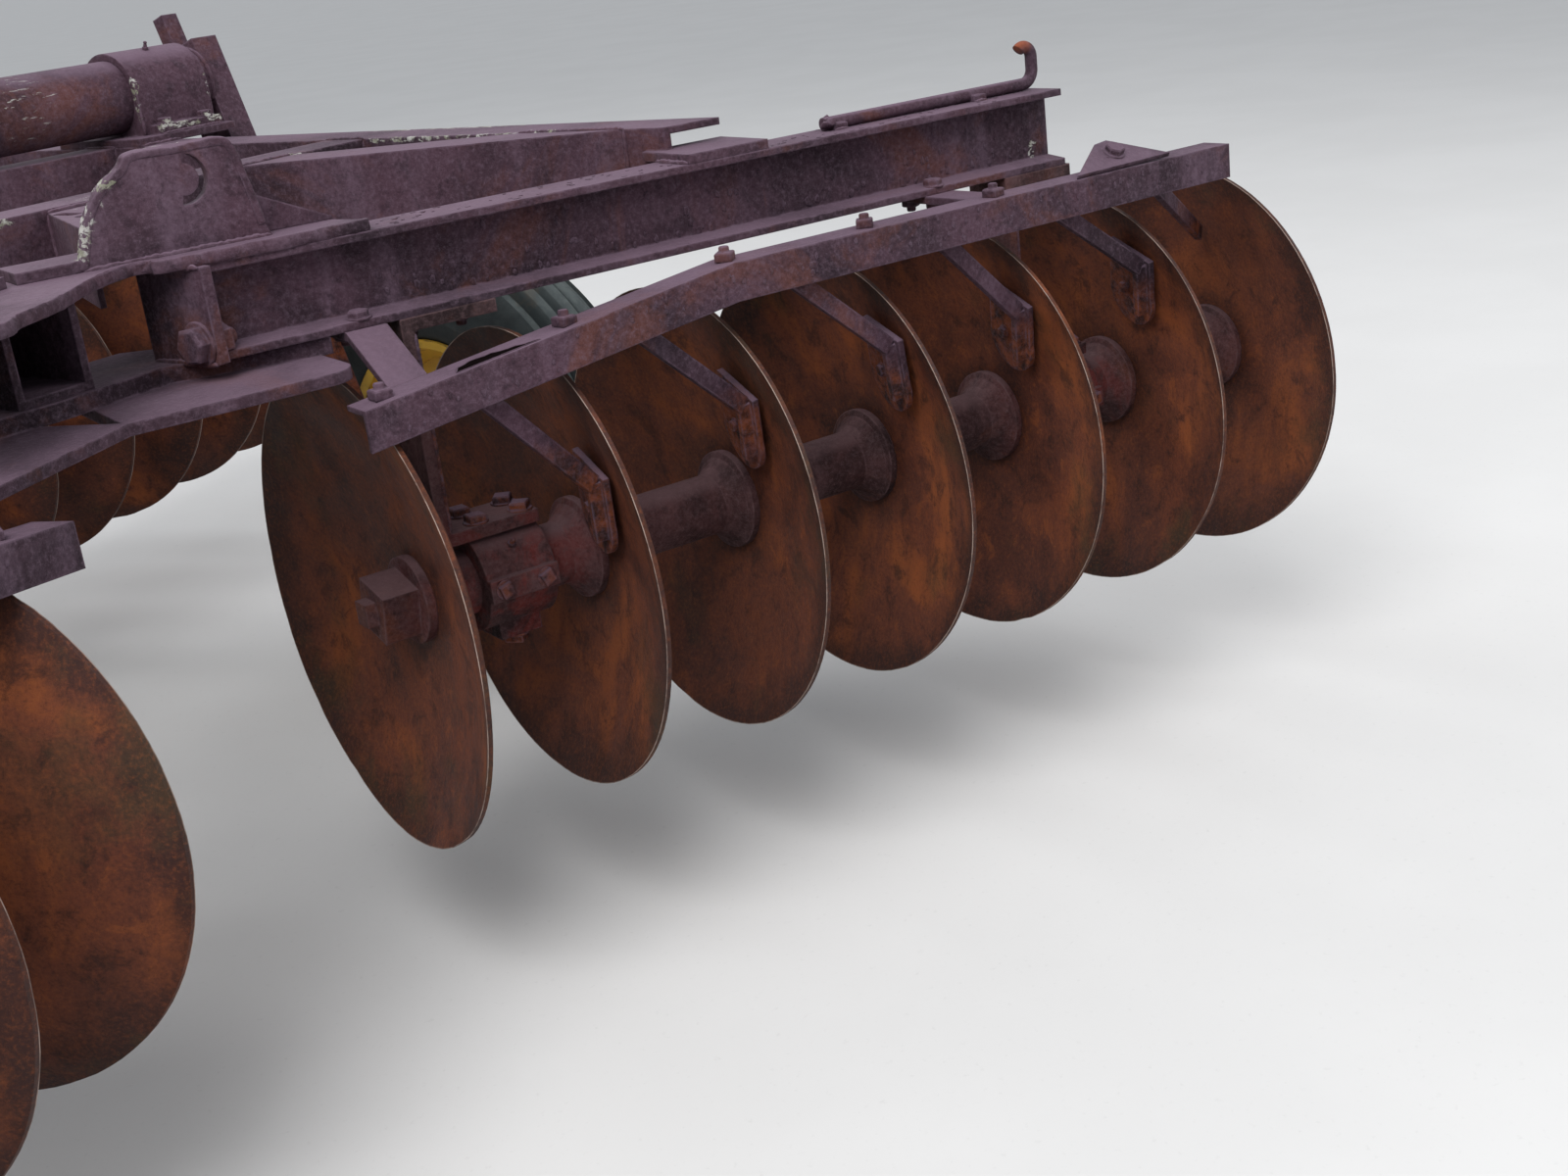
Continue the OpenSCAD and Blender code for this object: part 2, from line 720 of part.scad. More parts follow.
// Scraper bar of angle iron behind a gang, with the straps that hold it under the beam
module scraper_bar(inner) {
    low = beam_rise - beam_h;
    b = beam_w / 2;
    leg_v = angle_leg - bar_back;
    translate([0, angle_t - bar_back, 0]) rotate([90, 0, 0]) linear_extrude(angle_t)
        bar_profile(inner, angle_leg);
    translate([0, leg_v, 0]) rotate([90, 0, 0]) linear_extrude(angle_leg)
        bar_profile(inner, angle_t);
    for (u = strap_at) {
        w = bar_w(u - 25) - angle_t + 1;
        translate([u - 25, 0, 0]) rotate([90, 0, 90]) linear_extrude(50) polygon([
            [b, low], [-b - 4, low], [leg_v + 8, w], [angle_t + 1 - bar_back, w],
            [angle_t + 1 - bar_back, w - strap_t], [leg_v + 8, w - strap_t],
            [-b - 4, low - strap_t], [b, low - strap_t]
        ]);
    }
}

module scraper_bars() {
    color(rust) {
        at_gang(false, 1) scraper_bar(bar_inner_right);
        at_gang(false, -1) scraper_bar(bar_inner_left);
        for (side = [-1, 1]) at_gang(true, side) stack(true) scraper_bar(bar_inner_right);
    }
}

// Point near scraper blade k, x across it, y up along it and z out from the dish's centre
function on_blade(k, x, y, z) =
    let (
        row = scrapers_at[k - 1],
        spin = atan2(row[2], row[1]),
        tilt = asin(norm([row[1], row[2]]) / (dish_r - scraper_gap - blade_t)),
        turn = blade_turn(k),
        round = [0, -sin(spin), cos(spin)],
        away = [-sin(tilt), cos(tilt) * cos(spin), cos(tilt) * sin(spin)],
        normal = [cos(tilt), sin(tilt) * cos(spin), sin(tilt) * sin(spin)]
    )
    [k * disc_pitch + sphere_u, 0, 0] + normal * z
        + (sin(turn) * round + cos(turn) * away) * y
        + (sin(turn) * away - cos(turn) * round) * x;

// Turn of a scraper blade in its own plane, so that it points up at its foot
function blade_turn(k) =
    atan2(beam_rise - beam_h - scrapers_at[k - 1][2], foot_v - scrapers_at[k - 1][1])
    - atan2(scrapers_at[k - 1][2], scrapers_at[k - 1][1]);

// Foot of a scraper under the bar's top leg, and its arm down to a point
module scraper_arm(u, end) {
    under = angle_t + pin_gap;
    translate([0, foot_v + 17, 0]) rotate([90, 0, 0]) linear_extrude(34) polygon([
        [u - 20, bar_w(u - 20) - under], [u + 20, bar_w(u + 20) - under],
        [u + 20, bar_w(u + 20) - under - 10], [u - 20, bar_w(u - 20) - under - 10]
    ]);
    strut([u, foot_v, bar_w(u) - under - 12], end, arm_bar_w, arm_bar_h);
}

// Scraper: its foot and arm, and a flat blade with a round end beside the dish of a disc
module scraper(k) {
    row = scrapers_at[k - 1];
    reach = dish_r - scraper_gap - blade_t;
    tilt = asin(norm([row[1], row[2]]) / reach);
    scraper_arm(k * disc_pitch + row[0], on_blade(k, arm_on_blade, blade_up - 8, reach - 8));
    translate([k * disc_pitch + sphere_u, 0, 0]) rotate([atan2(row[2], row[1]), 0, 0])
        rotate([0, 0, tilt]) rotate([0, 90, 0]) rotate([0, 0, blade_turn(k)]) {
            translate([0, 0, reach]) linear_extrude(blade_t) union() {
                circle(d = blade_d);
                translate([-blade_d / 2 + 1, 0]) square([blade_d - 2, blade_up]);
            }
            translate([arm_on_blade - arm_bar_w / 2, -10, reach - 16])
                cube([arm_bar_w, blade_up + 4, 17]);
        }
}

module scrapers() {
    color(rust) for (front = [false, true], side = [-1, 1], k = [1 : disc_count - 1])
        at_gang(front, side) stack(front)
            if (k == disc_count - 1 && side == 1 && !front)
                scraper_arm(k * disc_pitch + lost_foot, [k * disc_pitch, 0, 0] + lost_end);
            else
                scraper(k);
}

// Round rod on two blocks on the right rear beam, its end bent up into a hook
module hook_rod() {
    u0 = 745;
    u1 = 1096;
    v = 12;
    d = hook_d;
    z = beam_rise + d / 2 + pin_gap;
    color(rust) at_gang(false, 1) union() {
        translate([u0, v, z]) rotate([0, 90, 0]) cylinder(d = d, h = u1 - u0);
        for (u = [u0 + 8, u0 + 250]) translate([u, v - 14, beam_rise]) cube([22, 28, d / 2]);
        translate([u1, v, z + 20]) rotate([-90, 0, 0]) rotate_extrude(angle = 90)
            translate([20, 0]) circle(d = d);
        translate([u1 + 20, v, z + 20]) cylinder(d = d, h = 16);
        translate([u1 + 6, v, z + 36]) rotate([90, 0, 0]) rotate_extrude(angle = 130)
            translate([14, 0]) circle(d = d);
    }
}

// Drawbar: two tubes that meet at the hitch, each from a plate against its beam
module draw_tube(side, s) {
    strut([side * draw_x0, draw_y0, draw_z0], [side * draw_x1, draw_y1 + draw_over, hitch_z], s, s);
}

// Everything outside a drawbar tube
module outside_draw(side) {
    p = [side * draw_x0, draw_y0, draw_z0];
    q = [side * draw_x1, draw_y1 + draw_over, hitch_z];
    d = q - p;
    flat = norm([d[0], d[1]]);
    translate(p) rotate([0, 0, atan2(d[1], d[0])]) rotate([0, -atan2(d[2], flat), 0])
        translate([-far / 2, side > 0 ? -far : 0, -far / 2]) cube([2 * far, far, far]);
}

module drawbar(side) {
    u = (draw_x0 - front_gang_x) / cos(gang_angle);
    color(rust) union() {
        difference() {
            draw_tube(side, draw_side);
            draw_tube(side, draw_side - 2 * draw_wall);
            at_gang(true, side) translate([-far / 4, beam_w / 2 - far, -far / 2])
                cube([far, far, far]);
            translate([-far / 2, draw_y1, 0]) cube([far, far, far]);
        }
        at_gang(true, side) translate([u - 75, beam_w / 2, beam_rise - beam_h])
            cube([150, plate_t, beam_h]);
    }
}

// Height of the middle of the drawbar tubes
function draw_z(y) = draw_z0 + (hitch_z - draw_z0) * (y - draw_y0) / (draw_y1 + draw_over - draw_y0);

// Cross tubes of the drawbar: one carries the level link, one the jack
module drawbar_ties() {
    s = draw_side;
    link_z = draw_z(tie_y) + s / 2 + lug_rise;
    color(rust) difference() {
        union() {
            for (y = [tie_y, jack_yy]) translate([-draw_x0, y - s / 2, draw_z(y) - s / 2]) difference() {
                cube([2 * draw_x0, s, s]);
                translate([0, draw_wall, draw_wall])
                    cube([2 * draw_x0, s - 2 * draw_wall, s - 2 * draw_wall]);
            }
            lugs(36, tie_y, link_z, draw_z(tie_y) + s / 2 - 1, 60);
        }
        for (side = [-1, 1]) {
            draw_tube(side, s);
            outside_draw(side);
        }
        translate([0, jack_yy, 0]) cylinder(d = jack_d + 2 * pin_gap, h = far);
        x_cyl(0, tie_y, link_z, level_pin_d + 2 * pin_gap, 200);
    }
}

// Hitch: a plate across the tube ends and a clevis with an upright pin hole
module hitch() {
    h = clevis_gap / 2 + ear_t;
    color(rust) difference() {
        union() {
            translate([-110, draw_y1, hitch_z - 55]) cube([220, hitch_plate_t, 124]);
            for (z = [hitch_z - h, hitch_z + clevis_gap / 2]) {
                translate([-ear_w / 2, draw_y1 + hitch_plate_t - 1, z])
                    cube([ear_w, pin_y - draw_y1 - hitch_plate_t + 1, ear_t]);
                translate([0, pin_y, z]) cylinder(d = ear_w, h = ear_t);
            }
        }
        translate([0, pin_y, 0]) cylinder(d = hitch_hole_d, h = far);
    }
}

// Levelling link: a screw with eyes, from the front splice to the drawbar
module level_link() {
    p = [0, link_y, level_z];
    q = [0, tie_y, draw_z(tie_y) + draw_side / 2 + lug_rise];
    d = q - p;
    color(steel_rust) union() {
        round_strut(p, q, 30);
        round_strut(p + d * 0.3, p + d * 0.66, 56);
        for (e = [p, q]) {
            x_cyl(0, e[1], e[2], 54, 35);
            x_cyl(0, e[1], e[2], level_pin_d, 84);
        }
        translate(p + d * 0.5) translate([0, 0, 20]) cylinder(d = 20, h = 130);
        translate(p + d * 0.5) translate([-90, 0, 150]) rotate([0, 90, 0]) cylinder(d = 20, h = 180);
    }
}

// Jack: outer tube through the tie, with a collar, a gear head and a crank
module jack_tube() {
    tie_top = draw_z(jack_yy) + draw_side / 2;
    crank_z = jack_top + 16;
    color(rust) difference() {
        union() {
            translate([0, jack_yy, jack_low_z]) cylinder(d = jack_d, h = jack_top - jack_low_z);
            translate([0, jack_yy, tie_top]) cylinder(d = jack_d + 34, h = 12);
            translate([0, jack_yy, jack_top - 6]) cylinder(d = jack_d + 18, h = 40);
            translate([0, jack_yy - 70, crank_z]) rotate([-90, 0, 0]) cylinder(d = 20, h = 60);
            translate([0, jack_yy - 70, crank_z]) rotate([0, 90, 0]) cylinder(d = 18, h = 150);
            translate([140, jack_yy - 70, crank_z]) rotate([90, 0, 0]) cylinder(d = 26, h = 110);
        }
        translate([0, jack_yy, jack_low_z - 1])
            cylinder(d = jack_leg_d + 2 * run_gap, h = jack_top - jack_low_z - 12);
    }
}

module jack_leg() {
    color(steel_rust) union() {
        translate([0, jack_yy, foot_t - 1]) cylinder(d = jack_leg_d, h = jack_leg_l);
        translate([0, jack_yy, 0]) cylinder(d = foot_d, h = foot_t);
    }
}

// Rockshaft pipe with the lift lever's two plates and its pin
module lever_plate() {
    a = lever_back;
    rotate([90, 0, 90]) linear_extrude(lug_t) union() {
        circle(d = shaft_d + 60);
        translate([-lever_l * sin(a), lever_l * cos(a)]) circle(d = 74);
        rotate(a) polygon([
            [-shaft_d / 2 - 28, 10], [shaft_d / 2 + 28, 10], [36, lever_l + 4], [-36, lever_l + 4]
        ]);
    }
}

module rockshaft() {
    color(rust) union() {
        difference() {
            union() {
                x_cyl(0, shaft_yy, shaft_z, shaft_d, 2 * shaft_half);
                for (x = [-eye_l / 2 - 1 - lug_t, eye_l / 2 + 1])
                    translate([x, shaft_yy, shaft_z]) lever_plate();
            }
            x_cyl(0, shaft_yy, shaft_z, shaft_d - 2 * shaft_wall, 2 * shaft_half + 2);
        }
        x_cyl(0, lever_y, lever_z, cyl_pin_d, eye_l + 50);
    }
}

// Wheel arms: a cranked square tube each, a boss with the spindle, a bar along its front
module wheel_arms() {
    x = arm_x;
    top = [x, shaft_yy + 4, shaft_z + arm_rise];
    knee_z = spindle_z + knee_rise;
    knee = [x, top[1] - (top[2] - knee_z) * tan(arm_lean), knee_z];
    down = [0, -sin(arm_lean), -cos(arm_lean)];
    bar_top = [x - 8, shaft_yy + 52, shaft_z + 108];
    bar_low = [x - 8, shaft_yy - 92, shaft_z - 330];
    color(rust) for (side = [0, 1]) mirror([side, 0, 0]) union() {
        difference() {
            union() {
                arm_bar(top, knee + 34 * down, arm_t, arm_w);
                arm_bar(bar_top, bar_low, 30, 26);
            }
            arm_bar(top - 2 * down, knee - 40 * down, arm_t - 2 * arm_wall, arm_w - 2 * arm_wall);
        }
        arm_bar(knee, [x, spindle_y, spindle_z], arm_t - 4, arm_w);
        x_cyl(x, spindle_y, spindle_z, 104, arm_t + 6);
        x_cyl((x + wheel_x - hub_in - 7) / 2, spindle_y, spindle_z, 66, wheel_x - hub_in - 7 - x);
        x_cyl((x + wheel_x + spindle_out) / 2, spindle_y, spindle_z, spindle_d,
            wheel_x + spindle_out - x);
    }
}

// Bar in a plane of constant x, w along X and h across the bar
module arm_bar(p, q, w, h) {
    d = q - p;
    translate(p) rotate([atan2(d[2], d[1]), 0, 0]) translate([-w / 2, 0, -h / 2])
        cube([w, norm(d), h]);
}

// Tyre of a ribbed implement wheel
module tyre(side) {
    r = tyre_d / 2;
    w = tyre_w / 2;
    b = rim_d / 2;
    color(tyre_grey) translate([side * wheel_x, spindle_y, spindle_z]) rotate([0, 90, 0])
        rotate_extrude($fn = 72) polygon([
            [b, -w + 28], [b + 30, -w + 8], [b + 78, -w], [r - 62, -w + 4], [r - 28, -w + 14],
            [r - 9, -w + 30],
            [r, -w + 52], [r, w - 52], [r - 9, w - 30], [r - 28, w - 14], [r - 62, w - 4], [b + 78, w],
            [b + 30, w - 8], [b, w - 28], [b, w - 40], [b + 40, w - 24], [r - 60, w - 24],
            [r - 30, w - 48], [r - 30, 48 - w], [r - 60, 24 - w], [b + 40, 24 - w], [b, 40 - w]
        ]);
}

// Steel wheel: rim, dished centre and hub on the spindle
module rim(side) {
    b = rim_d / 2 - 0.3;
    w = tyre_w / 2 - 28;
    hub = spindle_d / 2;
    color(yellow) translate([side * wheel_x, spindle_y, spindle_z])
        mirror([side > 0 ? 0 : 1, 0, 0]) rotate([0, 90, 0]) rotate_extrude($fn = 72) polygon([
            [hub + run_gap, -hub_in], [52, -hub_in], [52, -6], [80, 8], [120, 8], [b - 34, -4],
            [b - 34, -28], [b - 8, -w + 8],
            [b - 8, -w - 8], [b + 8, -w - 12], [b + 8, -w - 6], [b, -w - 2], [b, -w + 12], [b - 26, -26],
            [b - 26, 26], [b, w - 12], [b, w + 2], [b + 8, w + 6], [b + 8, w + 12], [b - 8, w + 8],
            [b - 8, w - 8], [b - 34, 28], [b - 34, 6], [120, 18], [80, 18], [52, 8],
            [44, hub_out], [0, hub_out], [0, hub_out - 8], [hub + run_gap, hub_out - 8]
        ]);
}

// Lift cylinder in its own line: x along the cylinder from the barrel's pin to the rod's eye
module at_cylinder() {
    translate([0, cyl_y, cyl_z]) rotate([180 - cyl_angle, 0, 0]) children();
}

module cylinder_barrel() {
    color(rust) at_cylinder() difference() {
        union() {
            x_cyl(0, 0, 0, 76, eye_l);
            translate([0, 20, 0]) rotate([-90, 0, 0]) cylinder(d = 44, h = 40);
            translate([0, barrel_low, 0]) rotate([-90, 0, 0])
                cylinder(d = barrel_d, h = barrel_high - barrel_low);
            translate([0, barrel_high - 34, 0]) rotate([-90, 0, 0]) cylinder(d = barrel_d + 10, h = 34);
            translate([0, barrel_low, 0]) rotate([-90, 0, 0]) cylinder(d = barrel_d + 10, h = 22);
            x_cyl(0, 0, 0, cyl_pin_d, eye_l + 50);
            for (y = [barrel_low + 34, barrel_high - 60]) translate([0, y, -barrel_d / 2 - 20])
                cylinder(d = 26, h = 26);
        }
        translate([0, barrel_low + 22, 0]) rotate([-90, 0, 0])
            cylinder(d = rod_d + 2 * run_gap, h = barrel_high);
    }
}

module cylinder_rod() {
    color("#8a8078") at_cylinder() difference() {
        union() {
            translate([0, rod_start, 0]) rotate([-90, 0, 0])
                cylinder(d = rod_d, h = cyl_len - rod_start - 25);
            x_cyl(0, cyl_len, 0, cyl_pin_d + 2 * eye_gap + 32, eye_l);
        }
        x_cyl(0, cyl_len, 0, cyl_pin_d + 2 * eye_gap, 60);
    }
}

beam(false, -1);  // beam_rear_left
beam(false, 1);  // beam_rear_right
beam(true, -1);  // beam_front_left
beam(true, 1);  // beam_front_right
rail(-1);  // rail_left
rail(1);  // rail_right
centre_rail();
cross_members();
braces();
splice_rear();
splice_front();
slot_brackets();
adjust_bars();
shaft_bearings();
hangers();
scraper_bars();
scrapers();
hook_rod();
drawbar(-1);  // drawbar_left
drawbar(1);  // drawbar_right
drawbar_ties();
hitch();
level_link();
jack_tube();
discs(false, -1);  // discs_rear_left
spools(false, -1);  // spools_rear_left
gang_axle(false, -1);  // axle_rear_left
discs(false, 1);  // discs_rear_right
spools(false, 1);  // spools_rear_right
gang_axle(false, 1);  // axle_rear_right
discs(true, -1);  // discs_front_left
spools(true, -1);  // spools_front_left
gang_axle(true, -1);  // axle_front_left
discs(true, 1);  // discs_front_right
spools(true, 1);  // spools_front_right
gang_axle(true, 1);  // axle_front_right
rockshaft();
wheel_arms();
tyre(-1);  // tyre_left
rim(-1);  // rim_left
tyre(1);  // tyre_right
rim(1);  // rim_right
cylinder_barrel();
cylinder_rod();
jack_leg();
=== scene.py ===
import json
import math
import random

import bmesh
import bpy
import numpy as np
from mathutils import Matrix, Vector, noise


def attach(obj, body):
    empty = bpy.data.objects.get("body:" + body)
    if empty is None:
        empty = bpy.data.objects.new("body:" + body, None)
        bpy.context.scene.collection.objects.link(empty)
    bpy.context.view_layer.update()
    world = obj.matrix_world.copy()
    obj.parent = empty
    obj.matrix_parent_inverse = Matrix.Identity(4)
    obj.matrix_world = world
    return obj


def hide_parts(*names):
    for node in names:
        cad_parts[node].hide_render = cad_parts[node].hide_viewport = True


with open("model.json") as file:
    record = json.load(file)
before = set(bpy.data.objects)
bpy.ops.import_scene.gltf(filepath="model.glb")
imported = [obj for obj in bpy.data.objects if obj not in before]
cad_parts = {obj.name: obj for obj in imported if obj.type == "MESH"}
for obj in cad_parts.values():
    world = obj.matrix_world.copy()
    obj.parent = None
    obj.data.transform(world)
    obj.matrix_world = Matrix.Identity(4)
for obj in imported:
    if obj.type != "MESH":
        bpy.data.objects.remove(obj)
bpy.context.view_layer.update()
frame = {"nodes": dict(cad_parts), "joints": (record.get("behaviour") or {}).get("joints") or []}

JOINTS = {joint["name"]: joint for joint in frame["joints"]}
UP = Vector((0, 0, 1))
ACROSS = Vector((1, 0, 0))
SIDES = (-1, 1)
random.seed(11)

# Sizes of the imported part, in metres; u runs outwards along a gang from its inner blade
DISC_R = 0.293
DISC_T = 0.006
DISH_R = 0.650
DISC_FLAT_R = 0.066
DISC_COUNT = 7
DISC_PITCH = 0.229
AXLE_SIDE = 0.029
SPHERE_U = -math.sqrt(DISH_R**2 - DISC_R**2)
FLAT_U = math.sqrt(DISH_R**2 - DISC_FLAT_R**2) + SPHERE_U
GANG_LEN = (DISC_COUNT - 1) * DISC_PITCH
BEARING_U = FLAT_U + DISC_T + DISC_PITCH / 2 - 0.009
# The blades that a bearing follows
BEARING_AFTER = (0, 4)
GANG_ANGLE = math.radians(19)
BEAM_RISE = 0.440
BEAM_H = 0.104
BEAM_W = 0.076
BEAM_FLANGE_T = 0.009
BEAM_WEB_T = 0.008
FLANGE_RISE = BEAM_RISE - BEAM_H + BEAM_FLANGE_T
PLATE_T = 0.012
BAR_BACK = 0.190
BAR_T = 0.006
BAR_BEND = 0.450
BAR_SLOPE = 0.127
BAR_LEGS = (0.050, 0.890)
SHAFT_R = 0.11430 / 2
TYRE_R = 0.370
TYRE_W = 0.190
RIM_R = 0.197

# Places on the machine's right side, in metres
REAR_X = 0.288
FRONT_X = 0.200
REAR_MEETS = -1.380 + REAR_X * math.tan(GANG_ANGLE)
FRONT_MEETS = -FRONT_X * math.tan(GANG_ANGLE)
BEAM_TOP = 0.910
BEAM_LOW = BEAM_TOP - BEAM_H
BEAM_IN = 0.165
END_PLATE_IN = 0.151
TOP_PLATE_OUT = 0.350
PLATE_TOP = BEAM_TOP + PLATE_T
RAIL_TOP = 0.950
RAIL_LOW = 0.848
RAIL_IN = 0.790
RAIL_OUT = 0.870
CENTRE_RAIL_OUT = 0.045
CROSS_Y = (-0.930, -0.360)
CROSS_HALF = 0.038
BRACE_X = (0.570, 0.660)
BRACE_BACK = (0.300, 0.480)
# Inner edge of a slotted adjusting bar at the rear cross member, and the bar's width and top
ADJUST_X = 0.122 + 0.317 * 0.47
ADJUST_W = 0.085
ADJUST_TOP = RAIL_TOP - 0.005
SHAFT = Vector((0, -0.360, 1.023))
# Rockshaft bearings: middle, half the foot, half the bolts' gap, and the ends of the plate below
SHAFT_BEARINGS = ((0.900, 0.060, 0.040, 0.790, 0.978), (0.300, 0.040, 0.022, 0.240, 0.360))
BEARING_FOOT_TOP = 0.976
SPINDLE = Vector((0, -0.680, 0.370))
ARM_X = 1.013
ARM_HALF = 0.028
LEVER_PIN = Vector((0, -0.4251, 1.2747))
BARREL_PIN = Vector((0, 0.020, 0.990))
BARREL_LEN = 0.338
LINK_PINS = (Vector((0, 0.120, 0.964)), Vector((0, 0.900, 0.7816)))
LINK_LUGS_LOW = (PLATE_TOP, 0.7316)
DRAW_FROM = Vector((0.420, 0.060, 0.855))
DRAW_TO = Vector((0.062, 2.020, 0.478))
DRAW_HALF = 0.038
DRAW_END_Y = 1.960
DRAW_PLATE_U = 0.2327
TIE_Y = (0.900, 1.480)
HITCH_Y = 1.980
HITCH_Z = 0.478
JACK_Y = 1.480
COLLAR_Z = 0.939
JACK_TUBE_LOW = 0.6216

# Scrapers: foot from its disc, then the blade's middle ahead of the axle and above it
SCRAPERS = (
    (-0.132, -0.098, 0.062), (-0.156, -0.095, 0.108), (-0.168, -0.120, 0.132),
    (-0.157, -0.095, 0.128), (-0.193, -0.105, 0.145), (-0.175, -0.110, 0.140),
)
# Foot of the scraper whose blade is lost
LOST_FOOT = -0.229
# Each scraper's bolt, back along the bar from its foot
BOLT_BACK = (0.097, 0.072, 0.067, 0.098, 0.080, 0.070)
FOOT_V = -0.1667
SHANK_GAP = 0.0004
SHANK_T = 0.0098
SCRAPER_REACH = DISH_R - 0.012 - 0.008

# The photograph's camera
CAMERA_AT = (-1.1023, -3.0609, 1.2034)
CAMERA_AHEAD = (0.74764, 0.57149, -0.33829)
CAMERA_RIGHT = (0.57065, -0.81339, -0.11293)
CAMERA_LENS = 43.9
CAMERA_SENSOR = 36

# Colours, linear
LOW_RUST = (0.180, 0.047, 0.016)
LOW_DARK = (0.026, 0.011, 0.009)
WHITE_SCUFF = (0.44, 0.43, 0.40)
GREEN_SCUFF = (0.20, 0.20, 0.145)
HOOK_ORANGE = (0.24, 0.060, 0.020)
RED_PAINT = (0.170, 0.020, 0.014)

# Usual radius of a weld bead
WELD = 0.0034

# Rust flakes of each gang: on its beam's web, lower flange and top, and on its scraper bar
WEB_FLAKES, FLANGE_FLAKES, TOP_FLAKES, BAR_FLAKES = 260, 150, 110, 110


# Meshes
def skin(rings, sides, closed=False):
    """Faces over a row of rings, with a cap at each end or closed from the last to the first."""
    last = (rings - 1) * sides
    faces = [] if closed else [list(range(sides)), list(range(last, last + sides))]
    for ring in range(rings if closed else rings - 1):
        low = ring * sides
        high = (ring + 1) % rings * sides
        for i in range(sides):
            j = (i + 1) % sides
            faces.append([low + i, low + j, high + j, high + i])
    return faces


class Heap:
    """Closed pieces gathered for one mesh, with one number at each point for the shader."""

    def __init__(self):
        self.points = []
        self.faces = []
        self.tones = []

    def add(self, points, faces, matrix=None, tone=None):
        tone = random.random() if tone is None else tone
        if matrix is not None:
            points = [matrix @ Vector(p) for p in points]
        start = len(self.points)
        self.points.extend(points)
        self.faces.extend([[i + start for i in face] for face in faces])
        self.tones.extend([tone] * len(points))

    def mesh(self, name, body="frame", slot="frame_steel", sharp=35, marks=None, material=None):
        """Makes the piece with its faces turned outwards and hangs it on its body."""
        mesh = bpy.data.meshes.new(name)
        mesh.from_pydata([tuple(p) for p in self.points], [], self.faces)
        for label, values in (("tone", self.tones), ("ring", marks)):
            if values is not None:
                layer = mesh.attributes.new(label, "FLOAT", "POINT")
                layer.data.foreach_set("value", np.array(values, np.float32))
        work = bmesh.new()
        work.from_mesh(mesh)
        bmesh.ops.recalc_face_normals(work, faces=work.faces)
        work.to_mesh(mesh)
        work.free()
        mesh.polygons.foreach_set("use_smooth", [True] * len(mesh.polygons))
        mesh.set_sharp_from_angle(angle=math.radians(sharp))
        mesh.materials.append(material or FINISHES[slot])
        piece = bpy.data.objects.new(name, mesh)
        bpy.context.collection.objects.link(piece)
        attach(piece, body)
        return piece


def turned(sides, profile, spin=0.0):
    """Points and faces of a closed solid with this many sides; profile lists (radius, height)."""
    turns = [spin + i * math.tau / sides for i in range(sides)]
    points = [(r * math.cos(a), r * math.sin(a), height) for r, height in profile for a in turns]
    return points, skin(len(profile), sides)


def axes(at, z):
    """Matrix that puts a piece's origin at a point, with its z along a direction."""
    z = Vector(z).normalized()
    x = UP if abs(z.z) < 0.9 else ACROSS
    x = (x - z * x.dot(z)).normalized()
    m = Matrix((x, z.cross(x), z)).transposed().to_4x4()
    m.translation = Vector(at)
    return m


def around(m, radius, count):
    """Points round the z axis of a matrix."""
    turns = [i * math.tau / count for i in range(count)]
    return [m @ Vector((radius * math.cos(a), radius * math.sin(a), 0)) for a in turns]


def circle(at, axis, radius):
    """Closed path round an axis."""
    path = around(axes(at, axis), radius, 36)
    return path + path[:1]


def mirrored(side, *places):
    """Places of the right side, on this side."""
    return [Vector((side * x, y, z)) for x, y, z in places]


def tangent(path, i):
    """Direction of a path at one of its points."""
    return path[min(i + 1, len(path) - 1)] - path[max(i - 1, 0)]


def smooth(points, count):
    """Curve through the points, this many steps for each stretch."""
    points = [Vector(p) for p in points]
    ends = [points[0] * 2 - points[1]] + points + [points[-1] * 2 - points[-2]]
    path = []
    for a, b, c, d in zip(ends, ends[1:], ends[2:], ends[3:]):
        squared = 2 * a - 5 * b + 4 * c - d
        cubed = 3 * b - a - 3 * c + d
        for j in range(count):
            t = j / count
            path.append(0.5 * (2 * b + (c - a) * t + squared * t * t + cubed * t**3))
    return path + [points[-1]]


def bolt(heap, at, along, d, sides=6, grip=0.0):
    """Bolt head on a washer at a face; with a grip its nut and thread show on the other side."""
    spin = random.uniform(0, math.tau)
    m = axes(at, along)
    w = d * 0.16
    r = d * (0.98 if sides == 6 else 1.12)
    heap.add(*turned(20, [(d * 1.15, -0.0005), (d * 1.18, w * 0.5), (d * 1.12, w)]), m)
    heap.add(*turned(sides, [(r, w), (r, w + d * 0.52), (r * 0.86, w + d * 0.64)], spin), m)
    if grip:
        nut = axes(Vector(at) - Vector(along).normalized() * grip, -Vector(along))
        heap.add(*turned(sides, [(r, 0), (r, d * 0.7), (r * 0.86, d * 0.82)], spin + 0.4), nut)
        heap.add(*turned(14, [(d * 0.48, d * 0.5), (d * 0.48, d * 1.2), (d * 0.4, d * 1.32)]), nut)


def grease_nipple(heap, at, along):
    """Hexagon and ball of a grease nipple."""
    m = axes(at, along)
    ball = [(0.003, 0.004), (0.003, 0.008), (0.0020, 0.0095), (0.0032, 0.0115), (0.0022, 0.0135)]
    heap.add(*turned(6, [(0.0052, -0.001), (0.0052, 0.004), (0.0045, 0.0045)]), m)
    heap.add(*turned(12, ball), m)


def wire(heap, path):
    """Cotter wire along a path."""
    sides = 6
    shape = []
    for i, p in enumerate(path):
        shape += around(axes(p, tangent(path, i)), 0.0014, sides)
    heap.add(shape, skin(len(path), sides))


